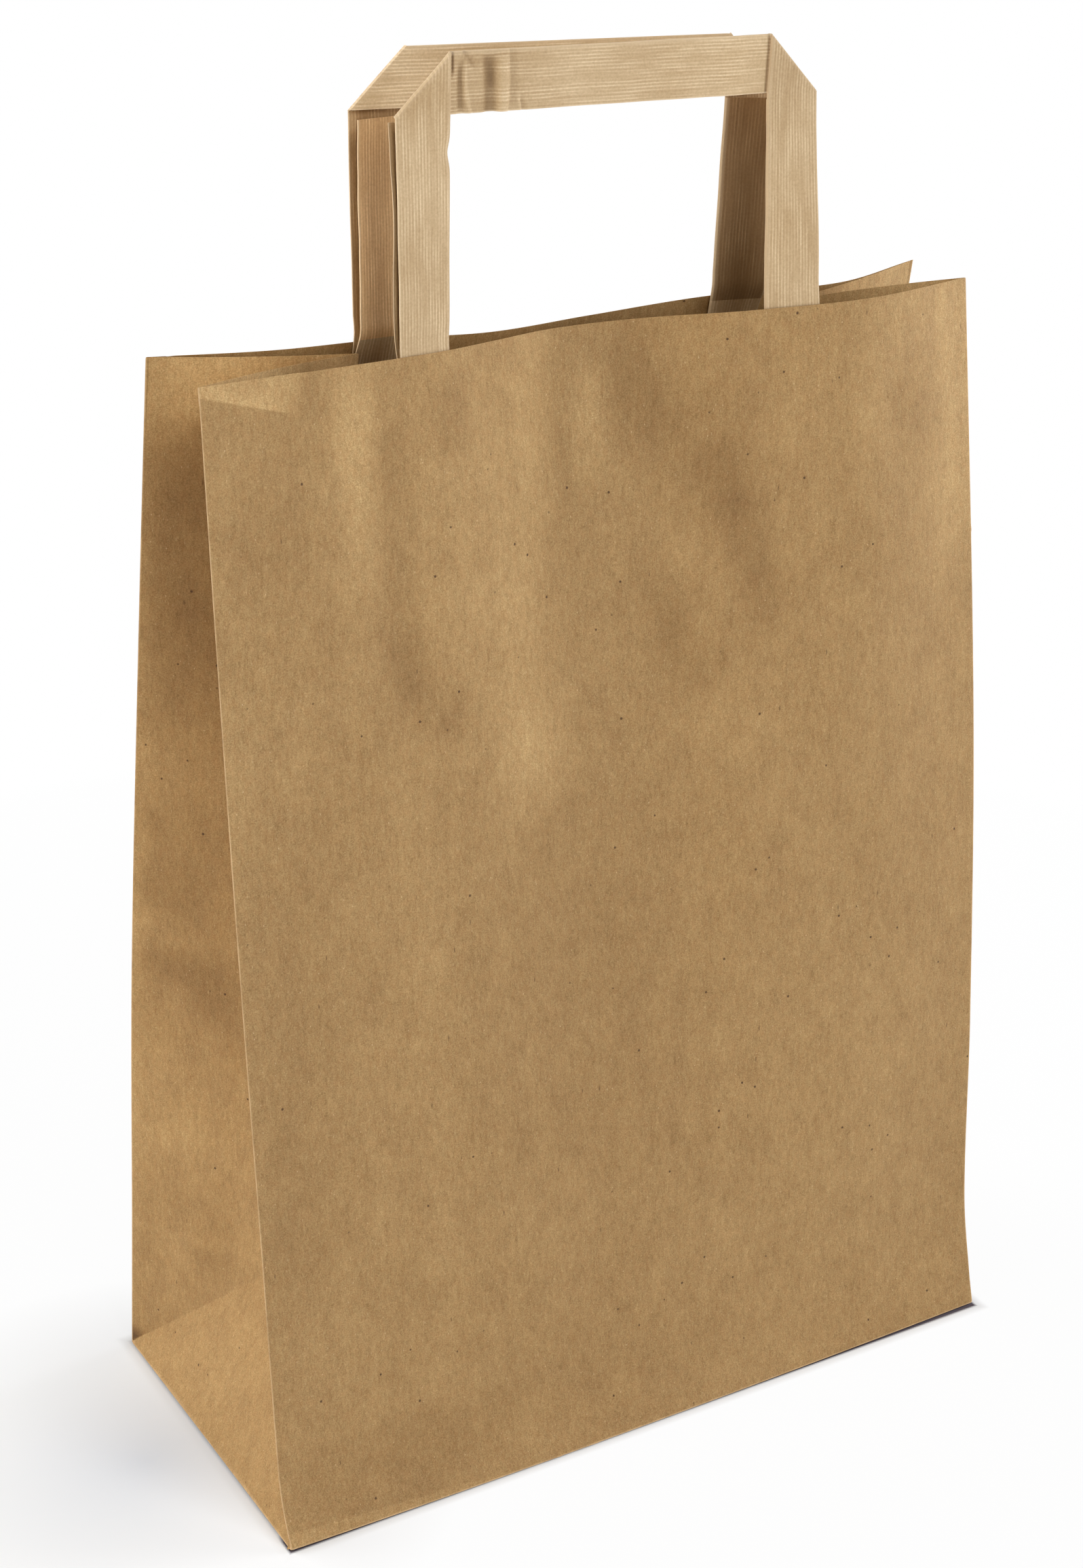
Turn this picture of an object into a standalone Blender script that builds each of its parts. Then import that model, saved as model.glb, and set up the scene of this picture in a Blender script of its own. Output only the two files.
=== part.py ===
"""Paper carrier bag with a block bottom and two flat folded handles, in metres, +Z up.

The origin is the middle of the base, on the surface that the bag stands on. The front panel faces -Y.
"""

import math

import bmesh
import bpy
from mathutils import Matrix, Vector

# The sheet of the bag
PANEL_WIDTH = 0.260  # front and back panel, from fold to fold
GUSSET_DEPTH = 0.120  # each side, from fold to fold when it is pulled flat
PANEL_HEIGHT = 0.350  # from the base fold to the cut edge, along the paper
PAPER = 0.00015  # one ply
BASE_PLIES = 4  # in the folded base
BASE_OVERLAP = 0.036  # how far the two bottom flaps lie over each other
BASE_FOLD = 0.001  # width of the rounded fold along each end of the base
SEAM_INSET = 0.006  # from the back left fold to the cut edge of the outer ply
SEAM_WIDTH = 0.015  # glued lap where the two ends of the sheet meet

# How the open bag stands
FRONT_MOUTH = (
    (-1.00, -0.0185),
    (-0.46, -0.0160),
    (-0.27, -0.0095),
    (-0.08, -0.0020),
    (0.12, -0.0055),
    (0.35, -0.0185),
    (0.65, -0.0250),
    (1.00, -0.0140),
)  # place across the panel from -1 to 1, and the Y of its cut edge there
BACK_MOUTH = (
    (-1.00, 0.0160),
    (-0.73, 0.0095),
    (-0.46, 0.0070),
    (-0.23, 0.0025),
    (0.04, 0.0045),
    (0.38, 0.0065),
    (0.73, 0.0035),
    (1.00, 0.0123),
)
MOUTH_DRAW_IN = 0.0014  # of each top corner, as the waves of the mouth take up width
BASE_BULGE = 0.0018  # of the front and back edge of the base, in their middle
GUSSET_TILT = math.radians(23)  # of the triangle at the foot of each gusset, from upright
GUSSET_SAG = 0.0030  # of the middle fold's top below the corners of the mouth
GUSSET_BOW = 0.0018  # of each half of a gusset away from the big panel beside it, at the mouth
LEFT_FOLD_SHIFT = 0.0040  # of the middle fold's top towards the back
RIGHT_FOLD_SHIFT = -0.0010
FRONT_LEFT_SWAY = ((0.0, 0.0), (0.03, 0.0028), (0.06, 0.0042), (0.28, 0.0033), (0.60, 0.0026), (1.0, 0.0))
FRONT_RIGHT_SWAY = ((0.0, 0.0), (0.03, 0.0016), (0.11, 0.0040), (0.30, 0.0005), (0.60, -0.0022), (1.0, 0.0))
BACK_LEFT_SWAY = ((0.0, 0.0), (0.15, 0.0010), (0.42, 0.0034), (0.75, 0.0018), (1.0, 0.0))
BACK_RIGHT_SWAY = ((0.0, 0.0), (0.15, -0.0010), (0.42, 0.0020), (0.75, 0.0012), (1.0, 0.0))

# The handles
HANDLE_WIDTH = 0.1344  # over both legs
STRIP_WIDTH = 0.0163
LEAF = 0.00045  # each half of the strip, which is folded lengthwise
LEAF_PITCH = 0.0009  # middle of one layer to middle of the next at a fold
FOLD_REACH = 0.00025  # half the width of a turned fold
OPEN_EDGE = 0.0032  # how far the strip's two halves gape along the outer edge of a leg
LEG_GLUED = 0.042  # length of the legs below the mouth
LEG_BEND = 0.008  # above the mouth, where a leg turns upright
FRONT_HANDLE_RISE = 0.0782  # top of the bar above the mouth
REAR_HANDLE_RISE = 0.0778
FRONT_BAR_SLOPE = math.radians(1.13)  # right end low, as glued
REAR_BAR_SLOPE = math.radians(1.44)
FRONT_LEG_LEAN = 0.008  # X gained for each metre up a leg
REAR_LEG_LEAN = 0.021
FRONT_HANDLE_X = -0.0004  # middle of the legs at the mouth
REAR_HANDLE_X = -0.0028
FRONT_BAR_Y = -0.0143
REAR_BAR_Y = 0.0083
FRONT_BAR_TWIST = -0.016  # Y gained for each metre to the right
REAR_BAR_TWIST = -0.059

# The patches
PATCH_WIDTH = 0.176
PATCH_HEIGHT = 0.042
PATCH_BELOW_MOUTH = 0.008
GAPE_START = 0.005  # below the mouth, and above the top of the patch
PATCH_RAMP = 0.006  # where a patch climbs over a leg

GLUE_GAP = 0.0003  # between pieces that are glued face to face

PANEL_COLUMNS = 24
GUSSET_COLUMNS = 8
PANEL_ROWS = 20
TRIANGLE_ROWS = 2
PATCH_ROWS = 6
STRIP_COLUMNS = 6
STRIP_STEP = 0.010
BEND_STEPS = 4
STEP_RUN = 0.0003  # width of the slope where one ply ends on another
MERGE = 1e-5

HALF_WIDTH = PANEL_WIDTH / 2
HALF_DEPTH = GUSSET_DEPTH / 2


def smooth_through(points, at):
    """Height at a place of a smooth curve through the points."""
    if at <= points[0][0]:
        return points[0][1]
    if at >= points[-1][0]:
        return points[-1][1]
    last = max(i for i in range(len(points) - 1) if points[i][0] <= at)

    def slope(i):
        low, high = max(i - 1, 0), min(i + 1, len(points) - 1)
        return (points[high][1] - points[low][1]) / (points[high][0] - points[low][0])

    (x0, y0), (x1, y1) = points[last], points[last + 1]
    span = x1 - x0
    t = (at - x0) / span
    return (
        (1 + 2 * t) * (1 - t) ** 2 * y0
        + t * (1 - t) ** 2 * span * slope(last)
        + t * t * (3 - 2 * t) * y1
        + t * t * (t - 1) * span * slope(last + 1)
    )


def ramp(low, high, value):
    return min(max((value - low) / (high - low), 0.0), 1.0)


def smooth_step(low, high, value):
    t = ramp(low, high, value)
    return t * t * (3 - 2 * t)


FRONT = dict(out=-1, mouth=FRONT_MOUTH, left=FRONT_LEFT_SWAY, right=FRONT_RIGHT_SWAY)
BACK = dict(out=1, mouth=BACK_MOUTH, left=BACK_LEFT_SWAY, right=BACK_RIGHT_SWAY)


def base_y(out, across):
    return out * (HALF_DEPTH + BASE_BULGE * (1 - across * across))


def panel_point(panel, across, up):
    """A point on the outside of a big panel: across from -1 at the left fold to 1, up from 0 to 1."""
    foot_y = base_y(panel["out"], across)
    mouth_y = smooth_through(panel["mouth"], across)
    mouth_z = math.sqrt(PANEL_HEIGHT**2 - (mouth_y - panel["out"] * HALF_DEPTH) ** 2)
    left, right = smooth_through(panel["left"], up), smooth_through(panel["right"], up)
    sway = left + (right - left) * (across + 1) / 2
    return Vector(
        (
            (HALF_WIDTH - MOUTH_DRAW_IN * up * up) * across,
            foot_y + (mouth_y - foot_y) * up + sway,
            mouth_z * up,
        )
    )


def crease_height(along):
    """Height on the paper of the 45 degree creases that rise from the corners of the base."""
    return HALF_DEPTH * (1 - abs(along))


def gusset_low(side, along, height):
    """A point of the flat triangle below the 45 degree creases."""
    return Vector(
        (
            side * (HALF_WIDTH - height * math.sin(GUSSET_TILT)),
            HALF_DEPTH * along,
            height * math.cos(GUSSET_TILT),
        )
    )


def gusset_high(side, along, up):
    """A point above the creases: along from -1 at the front fold to 1, up from 0 at the crease to 1."""
    front, back = (panel_point(panel, side, 1.0) for panel in (FRONT, BACK))
    reach = math.sqrt(HALF_DEPTH**2 - ((back.y - front.y) / 2) ** 2)
    shift = LEFT_FOLD_SHIFT if side < 0 else RIGHT_FOLD_SHIFT
    fold_top = Vector(
        (front.x - side * reach, (front.y + back.y) / 2 + shift, min(front.z, back.z) - GUSSET_SAG)
    )
    panel = FRONT if along < 0 else BACK
    corner = panel_point(panel, side, 1.0)
    foot = panel_point(panel, side, 0.0)
    sway = panel_point(panel, side, up) - foot.lerp(corner, up)
    crease = gusset_low(side, along, crease_height(along))
    mouth = corner.lerp(fold_top, 1 - abs(along))
    mouth.y -= panel["out"] * GUSSET_BOW * 4 * abs(along) * (1 - abs(along))
    return crease.lerp(mouth, up) + sway * abs(along)


def flat_sheet(width, height, columns, rows):
    """A flat rectangle of faces in X and Y with its lower left corner at the origin."""
    sheet = bmesh.new()
    place = Matrix.Diagonal((width, height, 1.0, 1.0)) @ Matrix.Translation((0.5, 0.5, 0.0))
    bmesh.ops.create_grid(sheet, x_segments=columns, y_segments=rows, size=0.5, matrix=place)
    return sheet


def crease(sheet, point, normal):
    """Splits every face of the flat sheet along a straight line."""
    everything = sheet.verts[:] + sheet.edges[:] + sheet.faces[:]
    bmesh.ops.bisect_plane(
        sheet, geom=everything, dist=MERGE / 10, plane_co=(*point, 0.0), plane_no=(*normal, 0.0)
    )


def add_folded(target, sheet, place, thickness=None):
    """Moves each point of the flat sheet where place puts it, and adds the sheet to the target.

    The thickness is a share of the Solidify modifier's own, kept as a vertex group's weight.
    """
    weights = sheet.verts.layers.deform.verify()
    for vert in sheet.verts:
        x, y = vert.co.xy
        if thickness:
            vert[weights][0] = thickness(x, y)
        vert.co = place(x, y)
    scratch = bpy.data.meshes.new("scratch")
    sheet.to_mesh(scratch)
    sheet.free()
    target.from_mesh(scratch)
    bpy.data.meshes.remove(scratch)


def material(name, colour, roughness):
    made = bpy.data.materials.new(name)
    made.use_nodes = True
    shader = made.node_tree.nodes["Principled BSDF"]
    shader.inputs["Base Color"].default_value = (*colour, 1.0)
    shader.inputs["Roughness"].default_value = roughness
    shader.inputs["Metallic"].default_value = 0.0
    return made


def add_object(name, bm):
    bmesh.ops.remove_doubles(bm, verts=bm.verts[:], dist=MERGE)
    bmesh.ops.recalc_face_normals(bm, faces=bm.faces[:])
    mesh = bpy.data.meshes.new(name)
    bm.to_mesh(mesh)
    bm.free()
    obj = bpy.data.objects.new(name, mesh)
    bpy.context.scene.collection.objects.link(obj)
    return obj


def thicken(obj, thickness, offset, varies, even=True):
    solid = obj.modifiers.new("Paper", "SOLIDIFY")
    solid.thickness = thickness
    solid.offset = offset
    solid.use_even_offset = even
    if varies:
        solid.vertex_group = obj.vertex_groups.new(name="thickness").name


def hidden_block(name, low_ring, high_ring):
    """A closed block between two rings of points, for a Boolean."""
    bm = bmesh.new()
    low = [bm.verts.new(point) for point in low_ring]
    high = [bm.verts.new(point) for point in high_ring]
    bm.faces.new(low)
    bm.faces.new(high)
    for i, vert in enumerate(low):
        bm.faces.new((low[i - 1], vert, high[i], high[i - 1]))
    block = add_object(name, bm)
    block.hide_render = True
    block.display_type = "WIRE"
    return block


def upright_block(name, outline, low, high):
    return hidden_block(name, [(x, y, low) for x, y in outline], [(x, y, high) for x, y in outline])


def combine(obj, block, operation):
    step = obj.modifiers.new(block.name, "BOOLEAN")
    step.operation = operation
    step.object = block


def floor_ring(height, inset):
    """Points round the bag at a small height over the base, inside its outer face by the inset."""
    columns = [2 * i / PANEL_COLUMNS - 1 for i in range(PANEL_COLUMNS + 1)]
    shrink = 1 - inset / HALF_WIDTH
    rings = []
    for panel, order in ((FRONT, columns), (BACK, columns[::-1])):
        for across in order:
            point = panel_point(panel, across, height / PANEL_HEIGHT)
            rings.append((point.x * shrink, point.y - panel["out"] * inset, height))
        side = -panel["out"]
        clear_of_crease = 1 - BASE_PLIES * PAPER / HALF_DEPTH
        for along in (-side * clear_of_crease, side * clear_of_crease):
            point = gusset_low(side, along, height)
            rings.append((point.x - side * inset, point.y, height))
    return rings


def make_bag_body():
    """One sheet: two panels, two gussets and the base, folded from flat sheets that meet at the folds."""
    bm = bmesh.new()
    seam = (SEAM_INSET, SEAM_INSET + STEP_RUN, SEAM_INSET + SEAM_WIDTH - STEP_RUN, SEAM_INSET + SEAM_WIDTH)

    def panel_sheet(height, rows):
        sheet = flat_sheet(PANEL_WIDTH, height, PANEL_COLUMNS, rows)
        for line in seam:
            crease(sheet, (line, 0), (1, 0))
        return sheet

    def single_ply(x, y):
        return 0.5

    def seam_plies(x, y):
        return 0.5 + 0.5 * min(ramp(seam[0], seam[1], x), ramp(seam[3], seam[2], x))

    def front_place(x, y):
        return panel_point(FRONT, x / HALF_WIDTH - 1, y / PANEL_HEIGHT)

    def back_place(x, y):
        under = ramp(0.0, seam[0], x) * ramp(seam[1], seam[0], x)
        outside = panel_point(BACK, x / HALF_WIDTH - 1, y / PANEL_HEIGHT)
        return outside - Vector((0.0, PAPER * under * ramp(0.0, seam[3], y), 0.0))

    def base_place(x, y):
        across = x / HALF_WIDTH - 1
        return Vector((x - HALF_WIDTH, base_y(y / HALF_DEPTH - 1, across), 0.0))

    add_folded(bm, panel_sheet(PANEL_HEIGHT, PANEL_ROWS), front_place, single_ply)
    add_folded(bm, panel_sheet(PANEL_HEIGHT, PANEL_ROWS), back_place, seam_plies)
    add_folded(bm, panel_sheet(GUSSET_DEPTH, GUSSET_COLUMNS), base_place, single_ply)
    for side in (-1, 1):

        def low_place(x, y):
            return gusset_low(side, x, y * crease_height(x))

        def high_place(x, y):
            return gusset_high(side, x, y)

        for rows, place in ((TRIANGLE_ROWS, low_place), (PANEL_ROWS, high_place)):
            sheet = flat_sheet(2.0, 1.0, GUSSET_COLUMNS, rows)
            bmesh.ops.translate(sheet, verts=sheet.verts[:], vec=(-1.0, 0.0, 0.0))
            add_folded(bm, sheet, place, single_ply)
    body = add_object("bag_body", bm)
    thicken(body, 2 * PAPER, -1.0, varies=True)

    inside_sheet = PAPER / 2
    floor = hidden_block(
        "folded_floor", floor_ring(inside_sheet, inside_sheet), floor_ring(BASE_PLIES * PAPER, inside_sheet)
    )
    combine(body, floor, "UNION")
    end = HALF_WIDTH - BASE_FOLD
    edge = HALF_DEPTH - BASE_FOLD
    tip = end - edge
    for side, place in ((-1, "left"), (1, "right")):
        outline = [(side * end, -edge), (side * end, edge), (side * tip, 0.0)]
        recess = upright_block(f"{place}_end_recess", outline, -PAPER, (BASE_PLIES - 1) * PAPER)
        combine(body, recess, "DIFFERENCE")
    lap = BASE_OVERLAP / 2
    slant_end = end - BASE_FOLD
    back_flap = [
        (-slant_end, edge),
        (lap + edge - slant_end, lap),
        (slant_end - edge - lap, lap),
        (slant_end, edge),
    ]
    combine(body, upright_block("back_flap_recess", back_flap, -PAPER, PAPER), "DIFFERENCE")
    return body


def leg_centre(handle, side):
    return handle["x"] + side * (HANDLE_WIDTH - STRIP_WIDTH) / 2


def mouth_height(handle):
    """Z of the mouth where the legs pass it."""
    heights = [panel_point(handle["panel"], leg_centre(handle, side) / HALF_WIDTH, 1.0).z for side in (-1, 1)]
    return sum(heights) / 2


def inner_face(panel, x, z):
    """Y of the panel's inner face, carried on straight above the mouth."""
    across = x / HALF_WIDTH
    top = panel_point(panel, across, 1.0)
    up = min(z / top.z, 1.0)
    point = panel_point(panel, across, up)
    below = panel_point(panel, across, up - 0.1)
    lean = (point.y - below.y) / (point.z - below.z)
    return point.y + lean * max(z - top.z, 0.0) - panel["out"] * PAPER


HANDLES = {
    "front": dict(
        panel=FRONT, x=FRONT_HANDLE_X, rise=FRONT_HANDLE_RISE, slope=FRONT_BAR_SLOPE, lean=FRONT_LEG_LEAN,
        bar_y=FRONT_BAR_Y, twist=FRONT_BAR_TWIST,
    ),
    "rear": dict(
        panel=BACK, x=REAR_HANDLE_X, rise=REAR_HANDLE_RISE, slope=REAR_BAR_SLOPE, lean=REAR_LEG_LEAN,
        bar_y=REAR_BAR_Y, twist=REAR_BAR_TWIST,
    ),
}


def make_handle(name, handle):
    """A strip folded lengthwise, then turned at 45 degrees where each leg meets the bar.

    The flat sheet runs along the strip in X. Across it, Y goes from the open edge over the first half to the
    lengthwise fold, and on over the second half. The second half is drawn on the legs only: on the bar, the
    two halves are pressed together, so the sheet is twice as thick there.
    """
    panel = handle["panel"]
    half = HANDLE_WIDTH / 2
    bar_low = handle["rise"] - STRIP_WIDTH
    leg = LEG_GLUED + bar_low
    far_leg = leg + HANDLE_WIDTH
    length = far_leg + leg
    leaf_end = leg - 2 * LEAF_PITCH
    sheet = flat_sheet(length, 2 * STRIP_WIDTH, round(length / STRIP_STEP), STRIP_COLUMNS)
    turn = FOLD_REACH * math.sqrt(2)
    for shift in (-turn, 0.0, turn):
        crease(sheet, (leg + shift, 0), (1, -1))
        crease(sheet, (far_leg + shift, 0), (1, 1))
    for shift in (-FOLD_REACH, FOLD_REACH):
        crease(sheet, (0, STRIP_WIDTH + shift), (0, 1))
    lines = [leaf_end] + [LEG_GLUED + LEG_BEND * step / BEND_STEPS for step in range(-BEND_STEPS, BEND_STEPS + 1)]
    for line in lines:
        crease(sheet, (line, 0), (1, 0))
        crease(sheet, (length - line, 0), (1, 0))
    over_bar = []
    for face in sheet.faces:
        middle = face.calc_center_median()
        if middle.y > STRIP_WIDTH and leaf_end < middle.x < length - leaf_end:
            over_bar.append(face)
    bmesh.ops.delete(sheet, geom=over_bar, context="FACES")
    mouth_z = mouth_height(handle)

    def into_bar(t, across):
        """Distance past the nearer mitre fold, positive on the bar."""
        return min(t - leg - across, far_leg - across - t) / math.sqrt(2)

    def second_half(c):
        return ramp(STRIP_WIDTH - FOLD_REACH, STRIP_WIDTH + FOLD_REACH, c)

    def place(t, c):
        across = min(c, 2 * STRIP_WIDTH - c)
        past_fold = into_bar(t, across)
        if past_fold > 0:
            x, z = t - leg - half, bar_low + across
        elif t < length / 2:
            x, z = across - half, t - LEG_GLUED
        else:
            x, z = half - across, length - t - LEG_GLUED
        layers = max(ramp(-FOLD_REACH, FOLD_REACH, past_fold), second_half(c))
        inward = GLUE_GAP + LEAF / 2 + LEAF_PITCH * layers
        turned_x = handle["x"] + x + z * handle["lean"]
        turned_z = mouth_z + z - x * math.tan(handle["slope"])
        cut_edge_z = panel_point(panel, turned_x / HALF_WIDTH, 1.0).z
        above = turned_z - cut_edge_z
        if c > STRIP_WIDTH:
            gape = OPEN_EDGE * smooth_step(-GAPE_START, LEG_BEND, above)
            inward += gape * (1 - across / STRIP_WIDTH)
        on_panel = inner_face(panel, turned_x, turned_z)
        at_mouth = inner_face(panel, turned_x, cut_edge_z)
        at_bar = handle["bar_y"] + handle["twist"] * (turned_x - handle["x"])
        upright = at_mouth + (at_bar - at_mouth) * min(z / bar_low, 1.0)
        y = on_panel + (upright - on_panel) * smooth_step(0.0, LEG_BEND, above)
        return Vector((turned_x, y - panel["out"] * inward, turned_z))

    def thickness(t, c):
        return 0.5 + 0.5 * ramp(0.0, FOLD_REACH, into_bar(t, min(c, 2 * STRIP_WIDTH - c)))

    bm = bmesh.new()
    add_folded(bm, sheet, place, thickness)
    obj = add_object(name, bm)
    thicken(obj, 2 * LEAF, 0.0, varies=True, even=False)
    return obj


def make_patch(name, handle):
    """The sheet that holds the legs to the panel. It climbs over each leg."""
    panel = handle["panel"]
    half_leg = STRIP_WIDTH / 2 + GLUE_GAP + STEP_RUN
    over_leg = 2 * GLUE_GAP + LEAF + LEAF_PITCH
    low_edge = mouth_height(handle) - PATCH_BELOW_MOUTH - PATCH_HEIGHT
    centres = [leg_centre(handle, side) for side in (-1, 1)]
    sheet = flat_sheet(PATCH_WIDTH, PATCH_HEIGHT, PANEL_COLUMNS, PATCH_ROWS)
    for centre in centres:
        for edge in (-half_leg - PATCH_RAMP, -half_leg, half_leg, half_leg + PATCH_RAMP):
            crease(sheet, (centre + edge + PATCH_WIDTH / 2, 0), (1, 0))

    def place(a, b):
        x = a - PATCH_WIDTH / 2
        z = low_edge + b
        shift = (z - mouth_height(handle)) * handle["lean"]
        off_leg = min(abs(x - centre - shift) for centre in centres)
        climb = smooth_step(half_leg + PATCH_RAMP, half_leg, off_leg)
        inward = GLUE_GAP + PAPER / 2 + (over_leg - GLUE_GAP) * climb
        return Vector((x, inner_face(panel, x, z) - panel["out"] * inward, z))

    bm = bmesh.new()
    add_folded(bm, sheet, place)
    obj = add_object(name, bm)
    thicken(obj, PAPER, 0.0, varies=False)
    return obj


def main():
    for obj in list(bpy.data.objects):
        bpy.data.objects.remove(obj, do_unlink=True)
    kraft = material("kraft paper", (0.39, 0.25, 0.12), 0.75)
    ribbed = material("ribbed kraft paper", (0.52, 0.36, 0.20), 0.65)
    make_bag_body().data.materials.append(kraft)
    for end, handle in HANDLES.items():
        make_handle(f"{end}_handle", handle).data.materials.append(ribbed)
        make_patch(f"{end}_patch", handle).data.materials.append(kraft)


main()
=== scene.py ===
"""Looks of the paper carrier bag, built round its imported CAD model. Metres, +Z up, front panel facing -Y."""

import math

import bmesh
import bpy
from mathutils import Matrix, Vector, noise


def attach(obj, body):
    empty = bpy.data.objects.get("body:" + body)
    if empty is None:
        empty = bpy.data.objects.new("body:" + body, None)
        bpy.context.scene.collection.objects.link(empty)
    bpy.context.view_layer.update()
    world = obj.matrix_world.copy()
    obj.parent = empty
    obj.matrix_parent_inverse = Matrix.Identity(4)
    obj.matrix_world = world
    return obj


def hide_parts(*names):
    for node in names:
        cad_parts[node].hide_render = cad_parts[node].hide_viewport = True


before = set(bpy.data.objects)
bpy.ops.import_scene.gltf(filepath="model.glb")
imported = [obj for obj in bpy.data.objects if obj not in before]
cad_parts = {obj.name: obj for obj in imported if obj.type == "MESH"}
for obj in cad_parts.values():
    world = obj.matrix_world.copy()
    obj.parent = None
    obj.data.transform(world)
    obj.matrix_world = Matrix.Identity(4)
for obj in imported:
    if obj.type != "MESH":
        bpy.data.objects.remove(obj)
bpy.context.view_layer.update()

# The bag itself is one sheet of brown kraft paper, made on a machine that glues it into a tube with
# pleated sides, creases it flat, and folds and glues one end into a block bottom. It has been carried
# flat and opened by hand, so the panels are softly dented and the flat folds still show.
PANEL_WIDTH = 0.260
GUSSET_DEPTH = 0.120
PANEL_HEIGHT = 0.350
PAPER = 0.00015
BASE_PLIES = 4
BASE_OVERLAP = 0.036
BASE_FOLD = 0.001
SEAM_INSET = 0.006
SEAM_WIDTH = 0.015
STEP_RUN = 0.0003
FOLD_ROUND = 0.0006
FOLD_ANGLE = math.radians(25)  # a sharper edge of the sheet is a fold
CORNER_ANGLE = math.radians(32)  # a sharper edge of a finished piece isn't shaded smoothly
ONE_PLY = 0.5  # the share of a Solidify modifier that is set to two plies
# The waved mouth of each big panel: place across from -1 to 1, then Y.
FRONT_MOUTH = (
    (-1.00, -0.0185),
    (-0.46, -0.0160),
    (-0.27, -0.0095),
    (-0.08, -0.0020),
    (0.12, -0.0055),
    (0.35, -0.0185),
    (0.65, -0.0250),
    (1.00, -0.0140),
)
BACK_MOUTH = (
    (-1.00, 0.0160),
    (-0.73, 0.0095),
    (-0.46, 0.0070),
    (-0.23, 0.0025),
    (0.04, 0.0045),
    (0.38, 0.0065),
    (0.73, 0.0035),
    (1.00, 0.0123),
)
MOUTH_DRAW_IN = 0.0014
BASE_BULGE = 0.0018
TOE_REACH = 0.0010  # the front foot's left corner stands forward by this
TOE_HEIGHT = 0.011
TOE_END = 0.6  # across the front, where the foot is straight again
TOE_FADE = 6  # the higher, the sooner it fades out behind the front fold
GUSSET_TILT = math.radians(23)  # of the flat triangles, from upright
GUSSET_SAG = 0.0030
GUSSET_BOW = 0.0018
GUSSET_FOOT = 0.05  # share of a pleat above its crease that keeps straight
LEFT_FOLD_SHIFT = 0.0040
RIGHT_FOLD_SHIFT = -0.0010
# How far each long fold bows out of a straight line, by place up from 0 to 1.
FRONT_LEFT_SWAY = ((0.0, 0.0), (0.03, 0.0028), (0.06, 0.0042), (0.28, 0.0033), (0.60, 0.0026), (1.0, 0.0))
FRONT_RIGHT_SWAY = ((0.0, 0.0), (0.03, 0.0016), (0.11, 0.0040), (0.30, 0.0005), (0.60, -0.0022), (1.0, 0.0))
BACK_LEFT_SWAY = ((0.0, 0.0), (0.15, 0.0010), (0.42, 0.0034), (0.75, 0.0018), (1.0, 0.0))
BACK_RIGHT_SWAY = ((0.0, 0.0), (0.15, -0.0010), (0.42, 0.0020), (0.75, 0.0012), (1.0, 0.0))
# Shares of a big panel that its folds, its foot and its mouth keep flat, and how flat the mouth is kept.
FLAT_AT_FOLD, FLAT_AT_FOOT, FLAT_AT_MOUTH = 0.14, 0.06, 0.10
MOUTH_STIFFNESS = 0.75
# Soft waves of handled paper: how often they come across and up, and how far they stand out, in metres.
PANEL_WAVES = (3.1, 2.3, 0.0009)
PANEL_RIPPLES = (9.0, 7.0, 0.00022)
TRIANGLE_WAVES = (2.5, 45.0, 0.0005)
PLEAT_WAVES = (2.2, 16.0, 0.0016)
PLEAT_RIPPLES = (6.0, 42.0, 0.0004)
PLEAT_CALM = 0.050  # from the mouth down, the waves of a pleat set in over this height
# Two soft creases that cross on each pleat: their height at an outer fold, and their climb to the middle.
CROSSED_CREASES = ((0.100, 0.050), (0.165, -0.055))
CROSSED_RISE, CROSSED_WIDTH = 0.0007, 0.007
# The crease that stays from lying flat, by its height at the front, middle and back folds.
FLAT_FOLD_FRONT, FLAT_FOLD_MIDDLE, FLAT_FOLD_BACK = 0.041, 0.062, 0.050
RIDGE_RISE, RIDGE_WIDTH = 0.0006, 0.0025

# Soft dents that hands and packing left: place across from -1 to 1, place up from 0 to 1, reach across
# and up, and how far the paper stands out, in metres.
FRONT_DENTS = (
    (-0.57, 0.80, 0.05, 0.12, -0.0011),
    (-0.36, 0.84, 0.10, 0.13, 0.0010),
    (0.08, 0.93, 0.06, 0.07, -0.0008),
    (0.28, 0.84, 0.12, 0.09, -0.0014),
    (0.06, 0.74, 0.10, 0.05, -0.0006),
    (0.62, 0.78, 0.14, 0.18, 0.0012),
    (-0.15, 0.50, 0.20, 0.12, -0.0010),
    (0.30, 0.45, 0.16, 0.08, 0.0007),
    (-0.90, 0.24, 0.10, 0.10, -0.0007),
    (-0.30, 0.22, 0.16, 0.10, 0.0007),
    (0.60, 0.20, 0.20, 0.14, 0.0008),
)
BACK_DENTS = (
    (-0.55, 0.75, 0.16, 0.16, -0.0011),
    (0.05, 0.80, 0.12, 0.12, 0.0009),
    (0.50, 0.66, 0.18, 0.14, -0.0010),
    (-0.10, 0.42, 0.22, 0.14, 0.0010),
    (0.60, 0.30, 0.16, 0.12, 0.0008),
    (-0.70, 0.28, 0.12, 0.12, -0.0007),
)
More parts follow.
